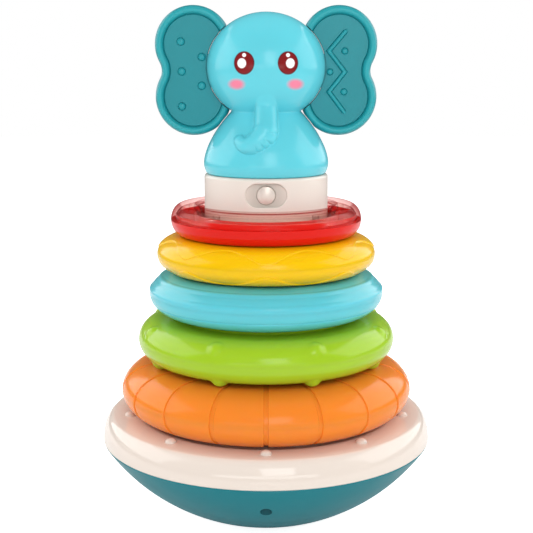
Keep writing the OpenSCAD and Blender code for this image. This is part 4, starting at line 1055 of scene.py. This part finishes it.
# Ears: two soft teal silicone pads with a round rim, a flat panel and raised marks on both faces, dots on one and
# a zigzag with dots on the other. A tab on each goes into the head, where a screw pins it.
lobe_radius, lobe_gap, waist_half, rim_half_width, rim_half_thick = 0.0183, 0.0124, 0.0152, 0.0023, 0.0042
panel_half, head_gap, mark_height, dot_radius, small_dot, zigzag_half = 0.0026, 0.0003, 0.0009, 0.0017, 0.0014, 0.0009
tab_thick, tab_high, tab_inner, tab_over, cut_half = 0.004, 0.016, 0.018, 0.003, 0.01
moat_width, moat_depth = 0.00035, 0.0005
waist_round = (waist_half**2 + lobe_gap**2 - lobe_radius**2) / (2 * (lobe_radius - waist_half))
waist_centre = waist_half + waist_round
lobe_turn = math.atan2(lobe_gap, waist_centre)
ear_out = ear_high.x - lobe_radius


def arc(centre_x, centre_z, radius, first, last, steps):
    """Points on a round between two angles, half a step in from its ends."""
    turns = [first + (last - first) * (i + 0.5) / steps for i in range(steps)]
    return [(centre_x + radius * math.cos(turn), centre_z + radius * math.sin(turn)) for turn in turns]


def ear_loop(side, inset, y):
    """The ear's outline drawn in by an inset: two round lobes joined by a waist."""
    lobe, waist = lobe_radius - inset, waist_round + inset
    points = arc(0, lobe_gap, lobe, -lobe_turn, math.pi + lobe_turn, 72)
    points += arc(-waist_centre, 0, waist, lobe_turn, -lobe_turn, 16)
    points += arc(0, -lobe_gap, lobe, math.pi - lobe_turn, math.tau + lobe_turn, 72)
    points += arc(waist_centre, 0, waist, math.pi + lobe_turn, math.pi - lobe_turn, 16)
    return [(side * ear_out + x, y, ear_level + z) for x, z in points]


def marks(side, dots, radius, height=mark_height):
    """Flat round dots that stand out of both faces of the panel."""
    places = [(side * ear_out + x, face * panel_half, ear_level + z) for x, z in dots for face in (-1, 1)]
    return balls(places, radius, (1, height / radius, 1), 28, 16)


def zigzag_line(side, corners, face_side, half=zigzag_half, height=mark_height, sides=20):
    """A round bar mitred at each corner, half sunk in a face of the panel."""
    corners = [Vector(corner) for corner in corners]
    ways = [(after - before).normalized() for before, after in zip(corners, corners[1:])]
    loops = []
    for corner, before, after in zip(corners, ways[:1] + ways, ways + ways[-1:]):
        mitre = (before + after).normalized().orthogonal()
        mitre *= half / mitre.dot(before.orthogonal())
        loops.append([
            (side * ear_out + corner.x + mitre.x * math.cos(turn),
             face_side * panel_half + height * math.sin(turn), ear_level + corner.y + mitre.y * math.cos(turn))
            for turn in spread(0.0, math.tau, sides)[:-1]
        ])
    return stacked(loops)


panel_turn = math.pi - math.asin((panel_half - moat_depth) / rim_half_thick)
rim_steps = 40
rim_turns = spread(-panel_turn, panel_turn, rim_steps)
panel_inset = rim_half_width * (1 - math.cos(panel_turn)) + moat_width
body_side = [(elephant_radius(up) + head_gap, body_level + up) for up in ups]
body_clear = body_side + [(-x, z) for x, z in body_side[::-1]]
teal_silicone = moulded("teal_silicone", ink(28, 141, 150), gloss=0.36, tone=0.06, grain=0.12, glow=0.1)
# Painted highlight: the teal is lighter where the pad stands out past the panel, on the round rim and the tops of the
# raised marks.
tint_by_reach(teal_silicone, (0, 1, 0), panel_half, rim_half_thick, ink(44, 166, 174))
left_dots = [(-0.0058, 0.0136), (0.0041, 0.0064), (-0.0055, -0.0004), (0.0040, -0.0071), (-0.0056, -0.0169)]
zigzag = [(0.0031, 0.0185), (-0.0049, 0.0092), (0.0028, -0.0006), (-0.0047, -0.0100), (0.0026, -0.0195)]
right_dots = [(0.0027, 0.0092), (-0.0043, -0.0006), (0.0025, -0.0100)]
for name, side in (("left", -1), ("right", 1)):
    rim = [
        ear_loop(side, rim_half_width * (1 - math.cos(turn)), -rim_half_thick * math.sin(turn))
        for turn in rim_turns
    ]
    pad = stacked([ear_loop(side, panel_inset, panel_half)] + rim + [ear_loop(side, panel_inset, -panel_half)])
    ear = piece_from(pad, f"ear_{name}_pad", teal_silicone)
    carve(ear, stacked([[(x, y, z) for x, z in body_clear] for y in (-cut_half, cut_half)]), "DIFFERENCE")
    tab = bmesh.new()
    tab_outer = head_radius + tab_over
    bmesh.ops.create_cube(
        tab, size=1.0, matrix=Matrix.Translation((side * (tab_inner + tab_outer) / 2, 0, ear_level))
        @ Matrix.Diagonal((tab_outer - tab_inner, tab_thick, tab_high, 1)),
    )
    carve(ear, tab, "UNION")
    dots, radius = (left_dots, dot_radius) if side < 0 else (right_dots, small_dot)
    carve(ear, marks(side, dots, radius + moat_width, moat_depth), "DIFFERENCE")
    carve(ear, marks(side, dots, radius), "UNION")
    if side > 0:
        for face_side in (-1, 1):
            carve(ear, zigzag_line(side, zigzag, face_side, zigzag_half + moat_width, moat_depth), "DIFFERENCE")
        carve(ear, marks(side, [zigzag[0], zigzag[-1]], zigzag_half), "UNION")
        for face_side in (-1, 1):
            carve(ear, zigzag_line(side, zigzag, face_side), "UNION")
    stand_in(ear, "top_unit", "teal_silicone", f"ear_{name}")
